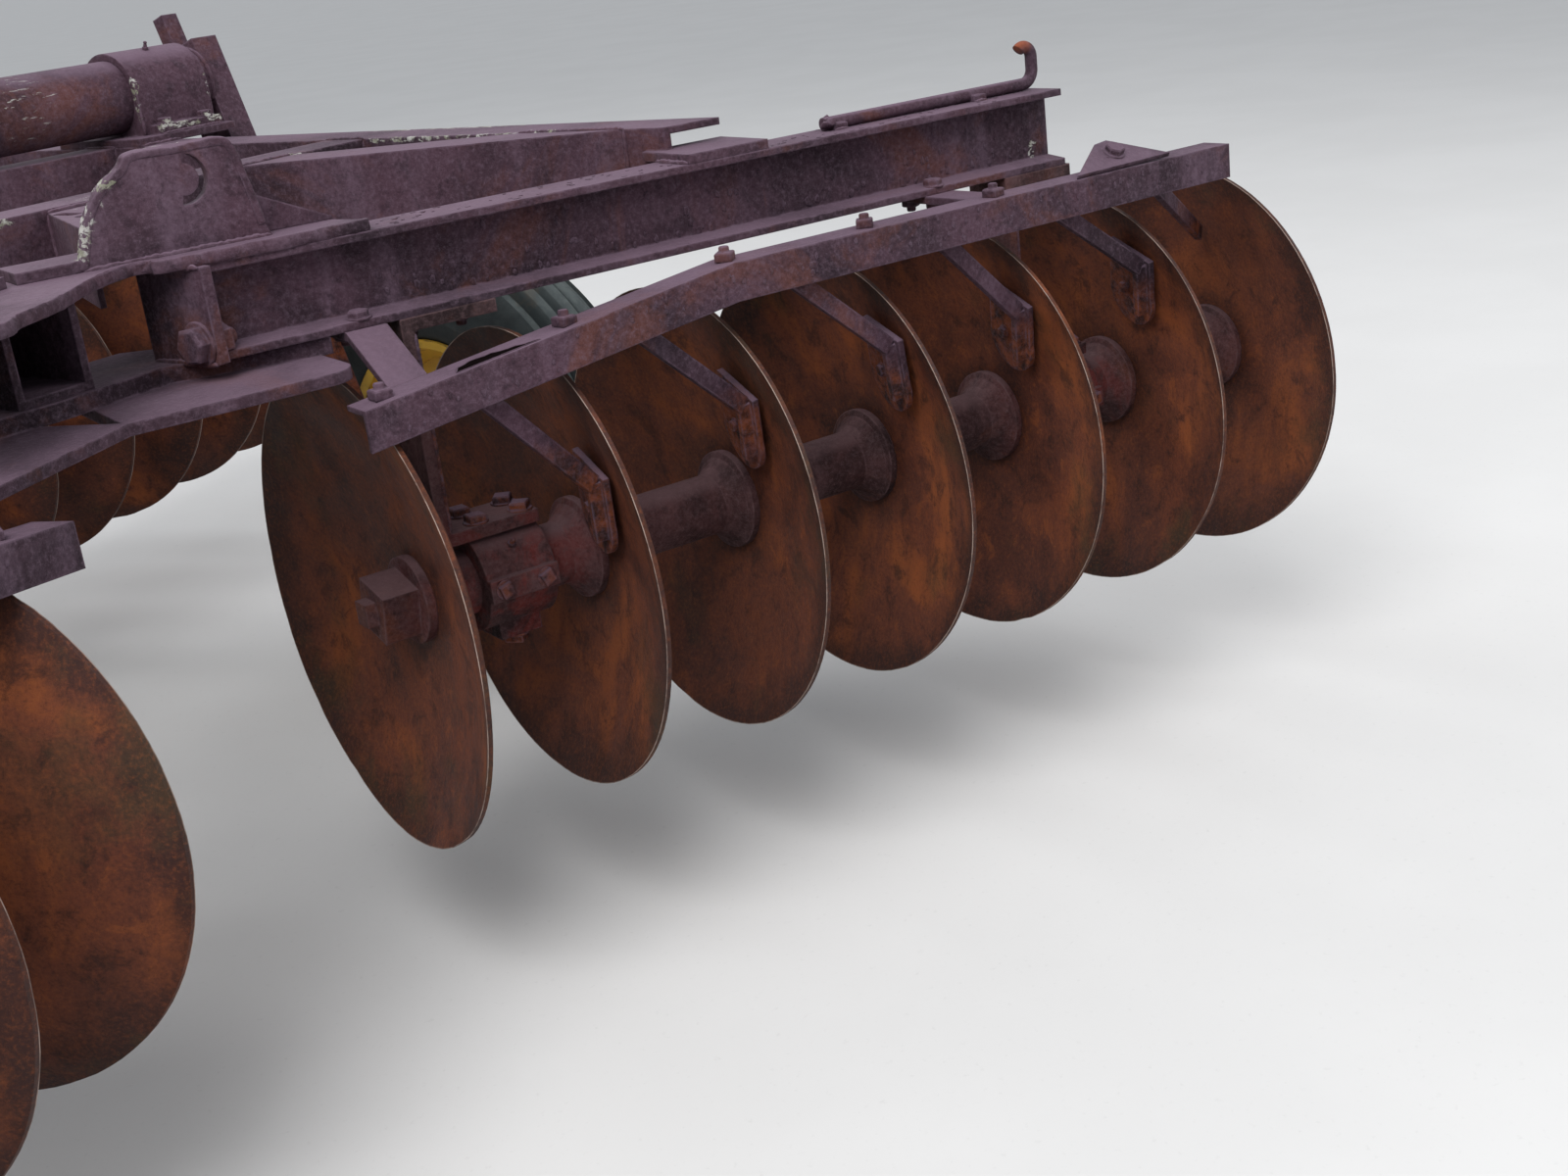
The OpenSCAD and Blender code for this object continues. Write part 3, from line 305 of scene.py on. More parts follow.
def cotter(heap, pin, x):
    """Cotter pin through a cross pin near its end."""
    side = 1 if x > 0 else -1
    at = Vector(pin) + Vector((x - side * 0.005, 0, 0))
    turns = [math.pi * (0.25 + 1.5 * i / 10) for i in range(11)]
    eye = [(0, 0.004 * math.cos(a), 0.020 + 0.005 * math.sin(a)) for a in turns]
    straight = eye + [(0, 0, 0.014), (0, 0, -0.016)]
    bent = [(0, 0.001, 0.012), (0, 0.001, -0.014)]
    bent += [(side * 0.003, 0.006, -0.019), (side * 0.004, 0.012, -0.020)]
    for leg in (straight, bent):
        wire(heap, [at + Vector(p) for p in leg])


def bead(heap, path, radius=WELD):
    """Weld bead along a path, rippled like overlapping scales and thinner at its ends."""
    points = [Vector(p) for p in path]
    sides = 6
    tone = random.random()
    shape = []
    rings = 0
    total = sum((b - a).length for a, b in zip(points, points[1:]))
    done = 0.0
    for a, b in zip(points, points[1:]):
        length = (b - a).length
        count = max(1, int(length / (radius * 0.85)))
        m = axes((0, 0, 0), b - a)
        for i in range(count + (b is points[-1])):
            t = i / count
            along = done + t * length
            end = min(1.0, 0.45 + 0.5 * min(along, total - along) / (radius * 2.5))
            ripple = 0.86 + 0.2 * abs(math.sin(rings * 1.15)) + random.uniform(-0.08, 0.08)
            sway = Vector([random.uniform(-1, 1) * radius * 0.12 for _ in range(3)])
            centre = a + (b - a) * t + sway
            shape += [centre + p for p in around(m, radius * end * ripple, sides)]
            rings += 1
        done += length
    heap.add(shape, skin(rings, sides), tone=tone)


def lip(heap, path, normal, thick, reach, rough, seed):
    """Ragged rounded edge along a plate's side; it wraps the plate's own edge a little way in."""
    normal = Vector(normal).normalized()
    half = thick / 2
    # Out from the edge, up from the plate's middle, and how ragged
    upper = (
        (-reach, half + 0.0003, 0.25), (-reach * 0.4, half + 0.0009, 0.25),
        (0.0008, half + 0.0006, 1.0), (0.0026, half * 0.45, 1.0),
    )
    section = upper + tuple((o, -n, share) for o, n, share in reversed(upper))
    shape = []
    for i, p in enumerate(path):
        out = tangent(path, i).normalized().cross(normal)
        for j, (o, n, share) in enumerate(section):
            wave = noise.noise(p * 38 + Vector((seed, j * 0.7, 0)))
            wave += 0.6 * noise.noise(p * 130 + Vector((seed, 0, j)))
            swollen = n + n / half * abs(wave) * rough * 0.35
            shape.append(p + out * (o + wave * rough * share) + normal * swollen)
    heap.add(shape, skin(len(path), len(section)))


# Gangs
class Gang:
    """Local places of one gang: u outwards along its axle, v ahead, w up."""

    def __init__(self, name):
        joint = JOINTS["gang_" + name + "_spin"]
        self.name = name
        self.body = "gang_" + name
        self.front = name.startswith("front")
        self.side = 1 if name.endswith("right") else -1
        self.origin = Vector(joint["pos_m"])
        self.out = Vector(joint["axis"]).normalized()
        ahead = UP.cross(self.out)
        self.ahead = ahead if ahead.y > 0 else -ahead

    def at(self, u, v, w):
        return self.origin + self.out * u + self.ahead * v + UP * w

    def stacked(self, u, v, w):
        """The same on the stack of blades, which stands end for end on a front gang."""
        return self.at(GANG_LEN - u if self.front else u, v, w)

    def matrix(self, u):
        """Axes of a blade whose rim is at u: x along the axle to its dished side, y ahead."""
        x = -self.out if self.front else self.out
        m = Matrix((x, self.ahead, UP)).transposed().to_4x4()
        m.translation = self.stacked(u, 0, 0)
        return m

    def foot(self, k):
        """Place of scraper k's foot, and whether its blade is lost."""
        lost = self.name == "rear_right" and k == DISC_COUNT - 1
        return k * DISC_PITCH + (LOST_FOOT if lost else SCRAPERS[k - 1][0]), lost


GANGS = [Gang(name) for name in ("rear_left", "rear_right", "front_left", "front_right")]
REAR_GANGS = GANGS[:2]
REAR_RIGHT = GANGS[1]

# Rubbed places: the bracket's edge, the rails' edges, the bearings' straps and feet, a plate's corner
SCUFF_LINES = (
    (REAR_RIGHT.at(-0.230, -0.004, 0.460), REAR_RIGHT.at(-0.212, -0.004, 0.512), 0.016),
    (REAR_RIGHT.at(-0.214, -0.004, 0.506), REAR_RIGHT.at(-0.172, -0.004, 0.552), 0.018),
    (REAR_RIGHT.at(-0.150, 0.002, 0.562), REAR_RIGHT.at(-0.065, 0.002, 0.563), 0.007),
    ((0.790, -0.985, 0.951), (0.790, -1.330, 0.951), 0.011),
    ((0.868, -0.900, 0.951), (0.868, -1.200, 0.951), 0.011),
    ((0.750, -1.000, 0.951), (0.640, -0.960, 0.951), 0.010),
    ((0.830, -0.427, 0.990), (0.830, -0.426, 1.045), 0.013),
    ((0.838, -0.458, 0.976), (0.958, -0.458, 0.976), 0.014),
    ((0.970, -0.428, 1.010), (0.970, -0.420, 1.060), 0.008),
    ((0.150, -0.965, 0.946), (0.250, -0.985, 0.946), 0.016),
    (REAR_RIGHT.at(1.092, -0.006, 0.352), REAR_RIGHT.at(1.094, -0.006, 0.366), 0.012),
    ((-0.790, -0.700, 0.951), (-0.790, -1.000, 0.951), 0.010),
    ((-0.830, -0.427, 0.990), (-0.830, -0.426, 1.045), 0.012),
)
# Scratched spots of the rockshaft, a cross member and a beam, as (x, y, z, radius)
FAINT_SPOTS = (
    (0.640, -0.414, 1.045, 0.10),
    (0.420, -0.414, 1.050, 0.09),
    (-0.500, -0.414, 1.050, 0.10),
    (0.330, -0.950, 0.950, 0.09),
    (-0.840, -1.560, 0.912, 0.08),
)
HOOK_TIP = ((REAR_RIGHT.at(1.086, 0.012, 0.505), REAR_RIGHT.at(1.102, 0.012, 0.502), 0.016),)
# Bearing housings with some red paint left
RED_SPOTS = tuple(
    (*gang.stacked(BEARING_U + k * DISC_PITCH, 0.0, 0.0), 0.17) for gang in GANGS for k in BEARING_AFTER
)


# Shaders
class Shader:
    """A material whose nodes are added by short calls; values may be numbers or sockets."""

    def __init__(self, name, color, roughness, metallic=0.0, gloss=0.5):
        self.material = bpy.data.materials.new(name)
        self.material.use_nodes = True
        self.tree = self.material.node_tree
        self.surface = self.tree.nodes["Principled BSDF"]
        self.surface.inputs["Base Color"].default_value = (*color, 1)
        self.surface.inputs["Roughness"].default_value = roughness
        self.surface.inputs["Metallic"].default_value = metallic
        self.surface.inputs["Specular IOR Level"].default_value = gloss
        self.place = self.node("ShaderNodeTexCoord").outputs["Object"]

    def node(self, kind, values=(), **settings):
        node = self.tree.nodes.new(kind)
        for key, value in settings.items():
            setattr(node, key, value)
        for key, value in dict(values).items():
            self.feed(node.inputs[key], value)
        return node

    def feed(self, socket, value):
        if isinstance(value, bpy.types.NodeSocket):
            self.tree.links.new(value, socket)
        elif isinstance(value, tuple) and socket.type == "RGBA":
            socket.default_value = (*value[:3], 1)
        else:
            socket.default_value = value

    def math(self, operation, a, b, clamp=False):
        node = self.node("ShaderNodeMath", {0: a, 1: b}, operation=operation, use_clamp=clamp)
        return node.outputs[0]

    def times(self, a, b):
        return self.math("MULTIPLY", a, b)

    def plus(self, a, b):
        return self.math("ADD", a, b)

    def most(self, values):
        """The largest of some values."""
        total = values[0]
        for value in values[1:]:
            total = self.math("MAXIMUM", total, value)
        return total

    def vector(self, operation, values, output=0):
        return self.node("ShaderNodeVectorMath", values, operation=operation).outputs[output]

    def ramp(self, value, low, high, out_low=0.0, out_high=1.0):
        values = {0: value, 1: low, 2: high, 3: out_low, 4: out_high}
        return self.node("ShaderNodeMapRange", values, interpolation_type="SMOOTHSTEP").outputs[0]

    def mix(self, factor, a, b):
        return self.node("ShaderNodeMix", {0: factor, 6: a, 7: b}, data_type="RGBA").outputs[2]

    def over(self, color, top, mask, share=None):
        """A colour laid over another where the mask is 1, all of it or this share."""
        return self.mix(mask if share is None else self.times(mask, share), color, top)

    def coats(self, color, rows):
        """Colours laid over another in turn, each (colour, value, low, high, share of its ramp)."""
        for top, value, low, high, share in rows:
            color = self.over(color, top, self.ramp(value, low, high), share)
        return color

    def stretched(self, scale):
        return self.vector("MULTIPLY", {0: self.place, 1: scale})

    def noise(self, scale, detail=4.0, rough=0.55, place=None, distortion=0.0):
        values = {"Scale": scale, "Detail": detail, "Roughness": rough, "Distortion": distortion}
        values["Vector"] = self.place if place is None else place
        return self.node("ShaderNodeTexNoise", values).outputs["Fac"]

    def cells(self, scale, feature="F1"):
        values = {"Scale": scale, "Vector": self.place}
        return self.node("ShaderNodeTexVoronoi", values, feature=feature).outputs["Distance"]

    def attribute(self, name):
        return self.node("ShaderNodeAttribute", attribute_name=name).outputs["Fac"]

    def upward(self):
        normal = self.node("ShaderNodeNewGeometry").outputs["Normal"]
        return self.node("ShaderNodeSeparateXYZ", {0: normal}).outputs["Z"]

    def edges(self, radius):
        """1 near convex and concave edges, 0 on flat faces, and the rounded normal."""
        rounded = self.node("ShaderNodeBevel", {"Radius": radius}, samples=4).outputs[0]
        normal = self.node("ShaderNodeNewGeometry").outputs["Normal"]
        return self.ramp(self.vector("DOT_PRODUCT", {0: rounded, 1: normal}, "Value"), 0.995, 0.90), rounded

    def near(self, spots):
        """1 at the middle of any of these round spots, listed as (x, y, z, radius)."""
        values = []
        for x, y, z, radius in spots:
            gap = self.vector("DISTANCE", {0: self.place, 1: (x, y, z)}, "Value")
            values.append(self.ramp(gap, radius, 0.0))
        return self.most(values)

    def along(self, lines):
        """1 on any of these straight lines, listed as (start, end, radius)."""
        values = []
        for start, end, radius in lines:
            line = Vector(end) - Vector(start)
            away = self.vector("SUBTRACT", {0: self.place, 1: tuple(start)})
            share = self.vector("DOT_PRODUCT", {0: away, 1: tuple(line / line.length_squared)}, "Value")
            share = self.math("ADD", share, 0.0, clamp=True)
            foot = self.vector("SCALE", {0: tuple(line), "Scale": share})
            gap = self.vector("DISTANCE", {0: away, 1: foot}, "Value")
            values.append(self.ramp(gap, radius, radius * 0.2))
        return self.most(values)

    def near_axles(self, reach, fade):
        """1 within this reach of a gang's axle, 0 further out."""
        values = []
        for gang in GANGS:
            away = self.vector("SUBTRACT", {0: self.place, 1: tuple(gang.origin)})
            cross = self.vector("CROSS_PRODUCT", {0: away, 1: tuple(gang.out)})
            gap = self.vector("LENGTH", {0: cross}, "Value")
            values.append(self.ramp(gap, reach + fade, reach))
        return self.most(values)

    def finish(self, color, roughness, height, strength, distance, normal=None):
        """Joins the colour, the roughness and a bump, which may stand on a rounded normal."""
        values = {"Height": height, "Strength": strength, "Distance": distance}
        if normal is not None:
            values["Normal"] = normal
        self.feed(self.surface.inputs["Base Color"], color)
        self.feed(self.surface.inputs["Roughness"], roughness)
        self.feed(self.surface.inputs["Normal"], self.node("ShaderNodeBump", values).outputs[0])
        return self.material


def scuffed(s, color):
    """Bare and whitened metal where something has rubbed, and an orange tip on the hook."""
    flecks = s.noise(85, 8, 0.72, place=s.stretched((1, 1, 1.6)), distortion=0.9)
    tint = s.mix(s.ramp(s.noise(30, 6, 0.7), 0.42, 0.56), GREEN_SCUFF, WHITE_SCUFF)
    broken = s.times(s.ramp(flecks, 0.44, 0.58), s.ramp(s.noise(17, 5, 0.7), 0.38, 0.58))
    chips = s.times(broken, s.along(SCUFF_LINES))
    color = s.over(color, tint, s.ramp(chips, 0.15, 0.42), 0.9)
    scratched = s.noise(1.0, 7, 0.75, place=s.stretched((26, 150, 150)), distortion=0.4)
    faint = s.times(s.ramp(scratched, 0.56, 0.66), s.near(FAINT_SPOTS))
    color = s.over(color, WHITE_SCUFF, s.ramp(faint, 0.15, 0.45), 0.6)
    return s.over(color, HOOK_ORANGE, s.along(HOOK_TIP), 0.85)


def rust(name, dark, middle, light, orange, paint=None, low=0.0, gloss=0.22, scuffs=False):
    """Old scaled rust: clouds of three browns, orange blooms, pits, tops lightened by dust and painted sheen,
    and worn edges.
    """
    s = Shader(name, middle, 0.85, gloss=gloss)
    clouds = s.noise(3.4, 7, 0.62, distortion=0.5)
    runs = s.noise(1.0, 5, 0.6, place=s.stretched((15, 15, 2.4)))
    grain = s.noise(150, 6, 0.75)
    scale = s.noise(36, 9, 0.72, distortion=0.3)
    speck = s.noise(520, 3, 0.7)
    bloom = s.noise(5.5, 8, 0.68, distortion=0.8)
    color = s.mix(s.ramp(clouds, 0.34, 0.64), dark, middle)
    color = s.coats(color, (
        (light, runs, 0.48, 0.72, 0.40),
        (dark, scale, 0.50, 0.66, 0.60),
        (orange, bloom, 0.51, 0.67, 0.62),
    ))
    if low:
        # Redder and browner near the blades
        worn = s.ramp(s.noise(14, 7, 0.66), 0.34, 0.56, 0.60, 1.0)
        browns = s.mix(s.ramp(scale, 0.4, 0.62), LOW_RUST, LOW_DARK)
        color = s.over(color, browns, s.times(s.near_axles(low, 0.05), worn))
    if paint is not None:
        tint, spots = paint
        left = s.ramp(s.noise(20, 8, 0.66, distortion=0.5), 0.42, 0.56)
        color = s.over(color, tint, s.times(left, s.near(spots)), 0.8)
    color = s.coats(color, (
        (light, grain, 0.46, 0.72, 0.40),
        (dark, grain, 0.50, 0.26, 0.60),
        (light, speck, 0.56, 0.70, 0.35),
    ))
    # Upward faces painted lighter: partly dust, partly a painted sheen standing in for light from above
    dust_and_sheen = s.times(s.ramp(s.upward(), 0.55, 0.95), s.ramp(clouds, 0.30, 0.60, 0.35, 0.8))
    color = s.over(color, light, dust_and_sheen)
    edge, rounded = s.edges(0.004)
    worn = s.ramp(s.noise(38, 5, 0.6), 0.42, 0.60, 0.15, 0.85)
    color = s.over(color, light, s.times(edge, worn))
    if scuffs:
        color = scuffed(s, color)
    pits = s.ramp(s.cells(95), 0.0, 0.35)
    height = s.plus(s.plus(scale, s.times(grain, 0.5)), s.times(pits, 0.22))
    return s.finish(color, s.ramp(grain, 0.3, 0.7, 0.93, 0.72), height, 0.7, 0.0024, rounded)


def disc_rust(name):
    """Blade rust: orange brown, mottled dark towards the rim, with a thin bright worn edge."""
    dark = (0.014, 0.006, 0.006)
    shade = (0.036, 0.012, 0.009)
    brown = (0.072, 0.021, 0.013)
    middle = (0.130, 0.036, 0.017)
    orange = (0.250, 0.068, 0.018)
    olive = (0.046, 0.030, 0.014)
    bright = (0.34, 0.255, 0.215)
    s = Shader(name, middle, 0.72, gloss=0.25)
    ring = s.attribute("ring")
    tone = s.attribute("tone")
    # The blade's own tone also shifts its pattern
    shift = s.node("ShaderNodeCombineXYZ", {0: s.times(tone, 7.0), 1: tone}).outputs[0]
    place = s.vector("ADD", {0: s.place, 1: shift})
    clouds = s.noise(5.2, 8, 0.64, place, 0.6)
    mottle = s.noise(24, 9, 0.74, place, 0.5)
    grain = s.noise(210, 6, 0.75, place)
    runs = s.noise(1.0, 6, 0.66, place=s.stretched((20, 20, 3.0)))
    wave = s.times(s.math("SUBTRACT", s.noise(7, 8, 0.70, place), 0.5), 0.85)
    green = s.times(s.ramp(s.noise(6.5, 7, 0.64, place), 0.53, 0.66), 0.60)
    worn = s.ramp(s.noise(22, 6, 0.66, place), 0.36, 0.58, 0.25, 0.95)
    color = s.mix(s.ramp(clouds, 0.36, 0.52), brown, middle)
    color = s.coats(color, (
        (orange, clouds, 0.50, 0.66, 0.8),
        (brown, runs, 0.47, 0.62, 0.50),
        (dark, mottle, 0.50, 0.64, 0.60),
        (orange, mottle, 0.46, 0.34, 0.45),
        (dark, s.plus(ring, wave), 0.76, 1.02, 0.78),
    ))
    color = s.over(color, olive, s.times(green, s.ramp(ring, 0.45, 0.9, 0.2, 1.0)))
    color = s.over(color, dark, s.ramp(s.plus(ring, s.times(wave, 0.4)), 0.38, 0.20), 0.65)
    color = s.over(color, shade, s.ramp(tone, 0.2, 1.0, 0.0, 0.35))
    color = s.over(color, orange, s.ramp(grain, 0.46, 0.74), 0.35)
    color = s.over(color, dark, s.ramp(grain, 0.50, 0.26), 0.55)
    color = s.over(color, bright, s.times(s.ramp(ring, 1.016, 1.034), worn))
    rounded = s.edges(0.0015)[1]
    height = s.plus(s.times(mottle, 0.8), s.times(grain, 0.5))
    return s.finish(color, s.ramp(clouds, 0.3, 0.7, 0.58, 0.82), height, 0.55, 0.0014, rounded)


def yellow_paint(name):
    """Thick yellow paint, chipped to rust at the edges, with patches of dirt."""
    s = Shader(name, (0.62, 0.36, 0.03), 0.45)
    fade = s.noise(7, 5, 0.55)
    color = s.mix(s.ramp(fade, 0.3, 0.7), (0.60, 0.33, 0.022), (0.74, 0.47, 0.06))
    edge, rounded = s.edges(0.004)
    chips = s.ramp(s.plus(s.times(edge, 0.14), s.noise(55, 7, 0.65, distortion=0.6)), 0.62, 0.66)
    color = s.over(color, (0.12, 0.045, 0.022), chips)
    color = s.over(color, (0.10, 0.072, 0.045), s.ramp(s.noise(16, 7, 0.65), 0.46, 0.70), 0.55)
    height = s.math("SUBTRACT", s.times(s.noise(180, 3), 0.3), chips)
    return s.finish(color, s.ramp(fade, 0.3, 0.7, 0.40, 0.62), height, 0.35, 0.0008, rounded)


def weathered_rubber(name):
    """Grey rubber with a teal cast, dusty on the ribs and finely cracked."""
    s = Shader(name, (0.035, 0.045, 0.048), 0.85)
    fade = s.noise(9, 6, 0.6)
    color = s.mix(s.ramp(fade, 0.3, 0.7), (0.014, 0.019, 0.021), (0.038, 0.048, 0.050))
    dust = s.ramp(s.noise(40, 7, 0.65), 0.35, 0.70, 0.25, 0.9)
    color = s.over(color, (0.080, 0.094, 0.092), s.times(dust, s.attribute("ring")))
    mud = s.ramp(s.noise(12, 8, 0.7, distortion=0.6), 0.54, 0.68)
    color = s.over(color, (0.085, 0.068, 0.050), mud, 0.5)
    cracks = s.ramp(s.cells(60, "DISTANCE_TO_EDGE"), 0.0, 0.05)
    height = s.plus(s.times(cracks, 0.35), s.times(s.noise(160, 5), 0.5))
    return s.finish(color, s.ramp(fade, 0.3, 0.7, 0.75, 0.92), height, 0.35, 0.0012)


def worn_steel(name):
    """Steel worn bright where it slides, stained with thin rust."""
    s = Shader(name, (0.35, 0.32, 0.30), 0.45, 0.8)
    stain = s.ramp(s.noise(20, 8, 0.7, distortion=0.5), 0.44, 0.60)
    color = s.mix(stain, (0.40, 0.38, 0.36), (0.13, 0.062, 0.034))
    s.feed(s.surface.inputs["Metallic"], s.ramp(stain, 0.0, 1.0, 0.9, 0.1))
    scratches = s.noise(1.0, 4, 0.7, place=s.stretched((300, 300, 12)))
    height = s.plus(s.times(scratches, 0.3), s.times(stain, 0.5))
    rounded = s.edges(0.002)[1]
    return s.finish(color, s.ramp(stain, 0.0, 1.0, 0.34, 0.80), height, 0.3, 0.0008, rounded)


def floor_finish(name):
    """Pale floor with a faint grain."""
    pale = (0.62, 0.61, 0.60)
    s = Shader(name, pale, 0.9)
    color = s.mix(s.ramp(s.noise(1.4, 6, 0.6), 0.35, 0.65), (0.60, 0.59, 0.58), pale)
    color = s.over(color, (0.34, 0.33, 0.32), s.ramp(s.noise(90, 4, 0.6), 0.60, 0.75), 0.16)
    return s.finish(color, 0.92, s.noise(120, 5, 0.6), 0.12, 0.001)


FINISHES = {
    "frame_steel": rust(
        "frame_rust",
        dark=(0.017, 0.0085, 0.0135),
        middle=(0.064, 0.0315, 0.046),
        light=(0.142, 0.092, 0.128),
        orange=(0.105, 0.034, 0.022),
        low=0.200,
        scuffs=True,
    ),
    "cast_parts": rust(
        "cast_rust",
        dark=(0.015, 0.007, 0.008),
        middle=(0.078, 0.031, 0.032),
        light=(0.130, 0.074, 0.080),
        orange=(0.120, 0.034, 0.015),
        paint=(RED_PAINT, RED_SPOTS),
    ),
    "disc_steel": disc_rust("disc_rust"),
    "bare_steel": worn_steel("worn_steel"),
    "yellow_paint": yellow_paint("rim_yellow"),
    "tyre_rubber": weathered_rubber("tyre_rubber_worn"),
}
# Near-black rust for the sheet of painted shade in the scraper bar's tear
TEAR_PAINTED_SHADE = rust(
    "tear_painted_shade",
    dark=(0.001, 0.0006, 0.0006),
    middle=(0.002, 0.001, 0.001),
    light=(0.004, 0.002, 0.002),
    orange=(0.008, 0.003, 0.002),
    gloss=0.02,
)


def dress_frame():
    """Gives each CAD mesh the finish of its slot."""
    for node in frame["nodes"].values():
        for slot in node.material_slots:
            finish = FINISHES.get(slot.material.name.split(".")[0]) if slot.material else None
            if finish is not None:
                slot.material = finish


# Blades
def blade(heap, marks, matrix, number):
    """Dished blade with a flat centre and a square hole; its rim is a little worn and bent."""
    sides = 96
    seed = Vector((number * 3.7, number * 1.3, 0))
    square = AXLE_SIDE / 2 + 0.0003
    shares = (0, 0.02, 0.12, 0.3, 0.5, 0.7, 0.85, 0.95, 0.99, 1)
    slopes = [DISC_FLAT_R + (DISC_R - DISC_FLAT_R) * t for t in shares]
    points = []

    def ring(radius_of, u_of, extra=0.0):
        for i in range(sides):
            a = i * math.tau / sides
            radius = radius_of(a)
            share = radius / DISC_R
            wave = noise.noise(seed + Vector((math.cos(a) * 1.3, math.sin(a) * 1.3, 0)))
            bend = wave * 0.0022 * share**4
            points.append((u_of(radius) + bend, radius * math.cos(a), radius * math.sin(a)))
            marks.append(share + extra)

    def hole(a):
        return square / max(abs(math.cos(a)), abs(math.sin(a)))

    def centre(a):
        return DISC_FLAT_R - 0.002

    def rim(radius):
        def at(a):
            if radius < DISC_R * 0.985:
                return radius
            nick = max(0.0, noise.noise(seed + Vector((math.cos(a) * 9, math.sin(a) * 9, 4))) - 0.30)
            return radius - 0.0035 * nick - 0.0004 * abs(noise.noise(seed + Vector((a * 14, 0, 9))))
        return at

    def inner(radius):
        return SPHERE_U + math.sqrt(DISH_R**2 - radius**2)

    def outer(radius):
        return SPHERE_U + math.sqrt((DISH_R + DISC_T) ** 2 - radius**2)

    ring(hole, lambda r: FLAT_U)
    ring(centre, lambda r: FLAT_U)
    for radius in slopes:
        # A mark past 1 shows the shader the corner that is worn bright
        ring(rim(radius), inner, 0.05 if radius == DISC_R else 0.0)
    ring(rim(DISC_R * 0.9995), lambda r: (inner(r) * 2 + outer(r)) / 3)
    for radius in reversed(slopes):
        ring(rim(radius - 0.0004 if radius == DISC_R else radius), outer)
    ring(centre, lambda r: FLAT_U + DISC_T)
    ring(hole, lambda r: FLAT_U + DISC_T)
    heap.add(points, skin(len(points) // sides, sides, True), matrix)


def blades():
    """The seven blades of each gang, in place of the CAD's."""
    for place, gang in enumerate(GANGS):
        heap = Heap()
        marks = []
        for k in range(DISC_COUNT):
            blade(heap, marks, gang.matrix(k * DISC_PITCH), k + 10 * place)
        piece = heap.mesh("blades_" + gang.name, gang.body, "disc_steel", 50, marks)
        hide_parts("discs_" + gang.name)


# Wheels
# Middle and width of each rib of the tread
RIBS = ((-0.064, 0.018), (-0.034, 0.022), (0, 0.024), (0.034, 0.022), (0.064, 0.018))
GROOVE = 0.011
# Sidewall from the tread to the bead, as (x, radius, how dusty)
WALL = [
    (0.076, 0.349, 0.8), (0.083, 0.338, 0.5), (0.089, 0.320, 0.3), (0.0905, 0.316, 0.5),
    (0.0915, 0.312, 0.5), (0.0915, 0.308, 0.3), (0.0942, 0.290, 0.3), (0.0950, 0.275, 0.3),
    (0.0946, 0.262, 0.3), (0.0936, 0.254, 0.5), (0.0936, 0.250, 0.5), (0.0920, 0.246, 0.3),
    (0.085, 0.226, 0.2), (0.078, 0.213, 0.2), (0.073, 0.207, 0.2), (0.066, 0.200, 0.2),
    (0.058, RIM_R + 0.0005, 0.1),
]
# Hollow inside of the tyre
HOLLOW = [(0.045, 0.235, 0.0), (0.0, 0.26, 0.0), (-0.045, 0.235, 0.0)]


def tyre(side):
    """Ribbed implement tyre: five ribs round the tread and moulded rings on the sidewalls."""
    centre = Vector(JOINTS["wheel_" + side + "_spin"]["pos_m"])
    half = TYRE_W / 2
    tread = []
    for rib, wide in RIBS:
        crown = TYRE_R - 1.15 * rib**2 / TYRE_W
        shoulder = ((-0.0025, crown - GROOVE, 0.1), (0, crown - 0.0015, 0.7), (0.002, crown, 1.0))
        tread += [(rib - wide / 2 + x, r, mark) for x, r, mark in shoulder]
        tread += [(rib + wide / 2 - x, r, mark) for x, r, mark in reversed(shoulder)]
    profile = [(-x, r, mark) for x, r, mark in reversed(WALL)] + tread + WALL + HOLLOW
    sides = 120
    points = []
    marks = []
    for i in range(sides):
        a = i * math.tau / sides
        for x, r, mark in profile:
            sway = 0.0016 * math.sin(a * 60) if mark == 1.0 else 0.0
            x = max(-half, min(half, x + sway))
            points.append((centre.x + x, centre.y + r * math.cos(a), centre.z + r * math.sin(a)))
            marks.append(mark)
    heap = Heap()
    heap.add(points, skin(sides, len(profile), True))
    piece = heap.mesh("ribbed_tyre_" + side, "wheel_" + side, "tyre_rubber", 40, marks)
    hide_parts("tyre_" + side)


def wheel_details(side):
    """Wheel bolts, valve stem and hub cap of one wheel."""
    centre = Vector(JOINTS["wheel_" + side + "_spin"]["pos_m"])
    out = Vector((-1 if side == "left" else 1, 0, 0))
    stem = [(0.0055, -0.02), (0.0055, 0.012), (0.0040, 0.016), (0.0040, 0.034), (0.0034, 0.036)]
    cap = [(0.030, -0.001), (0.030, 0.004), (0.026, 0.0075), (0.012, 0.009)]
    heap = Heap()
    for i in range(6):
        a = i * math.tau / 6 + 0.3
        spoke = Vector((0, math.cos(a), math.sin(a))) * 0.100
        bolt(heap, centre + out * 0.018 + spoke, out, 0.0135, 6, 0.010)
    heap.add(*turned(12, stem), axes(centre + Vector((0, 0.150, 0.055)) + out * 0.010, out))
    heap.add(*turned(24, cap), axes(centre + out * 0.074, out))
    grease_nipple(heap, centre + out * 0.0826, out)
    heap.mesh("wheel_bolts_" + side, "wheel_" + side, "cast_parts")


# Places on the beams, the bars, the scrapers and the drawbar
def beam_y(front, x):
    """Middle line of a pair of beams at a distance from the centre line."""
    slope = x * math.tan(GANG_ANGLE)
    return FRONT_MEETS + slope if front else REAR_MEETS - slope


def bar_top(u):
    """Height of the scraper bar's top above the gang axle."""
    return BEAM_RISE - BEAM_H + BAR_T - max(0.0, BAR_BEND - u) * BAR_SLOPE


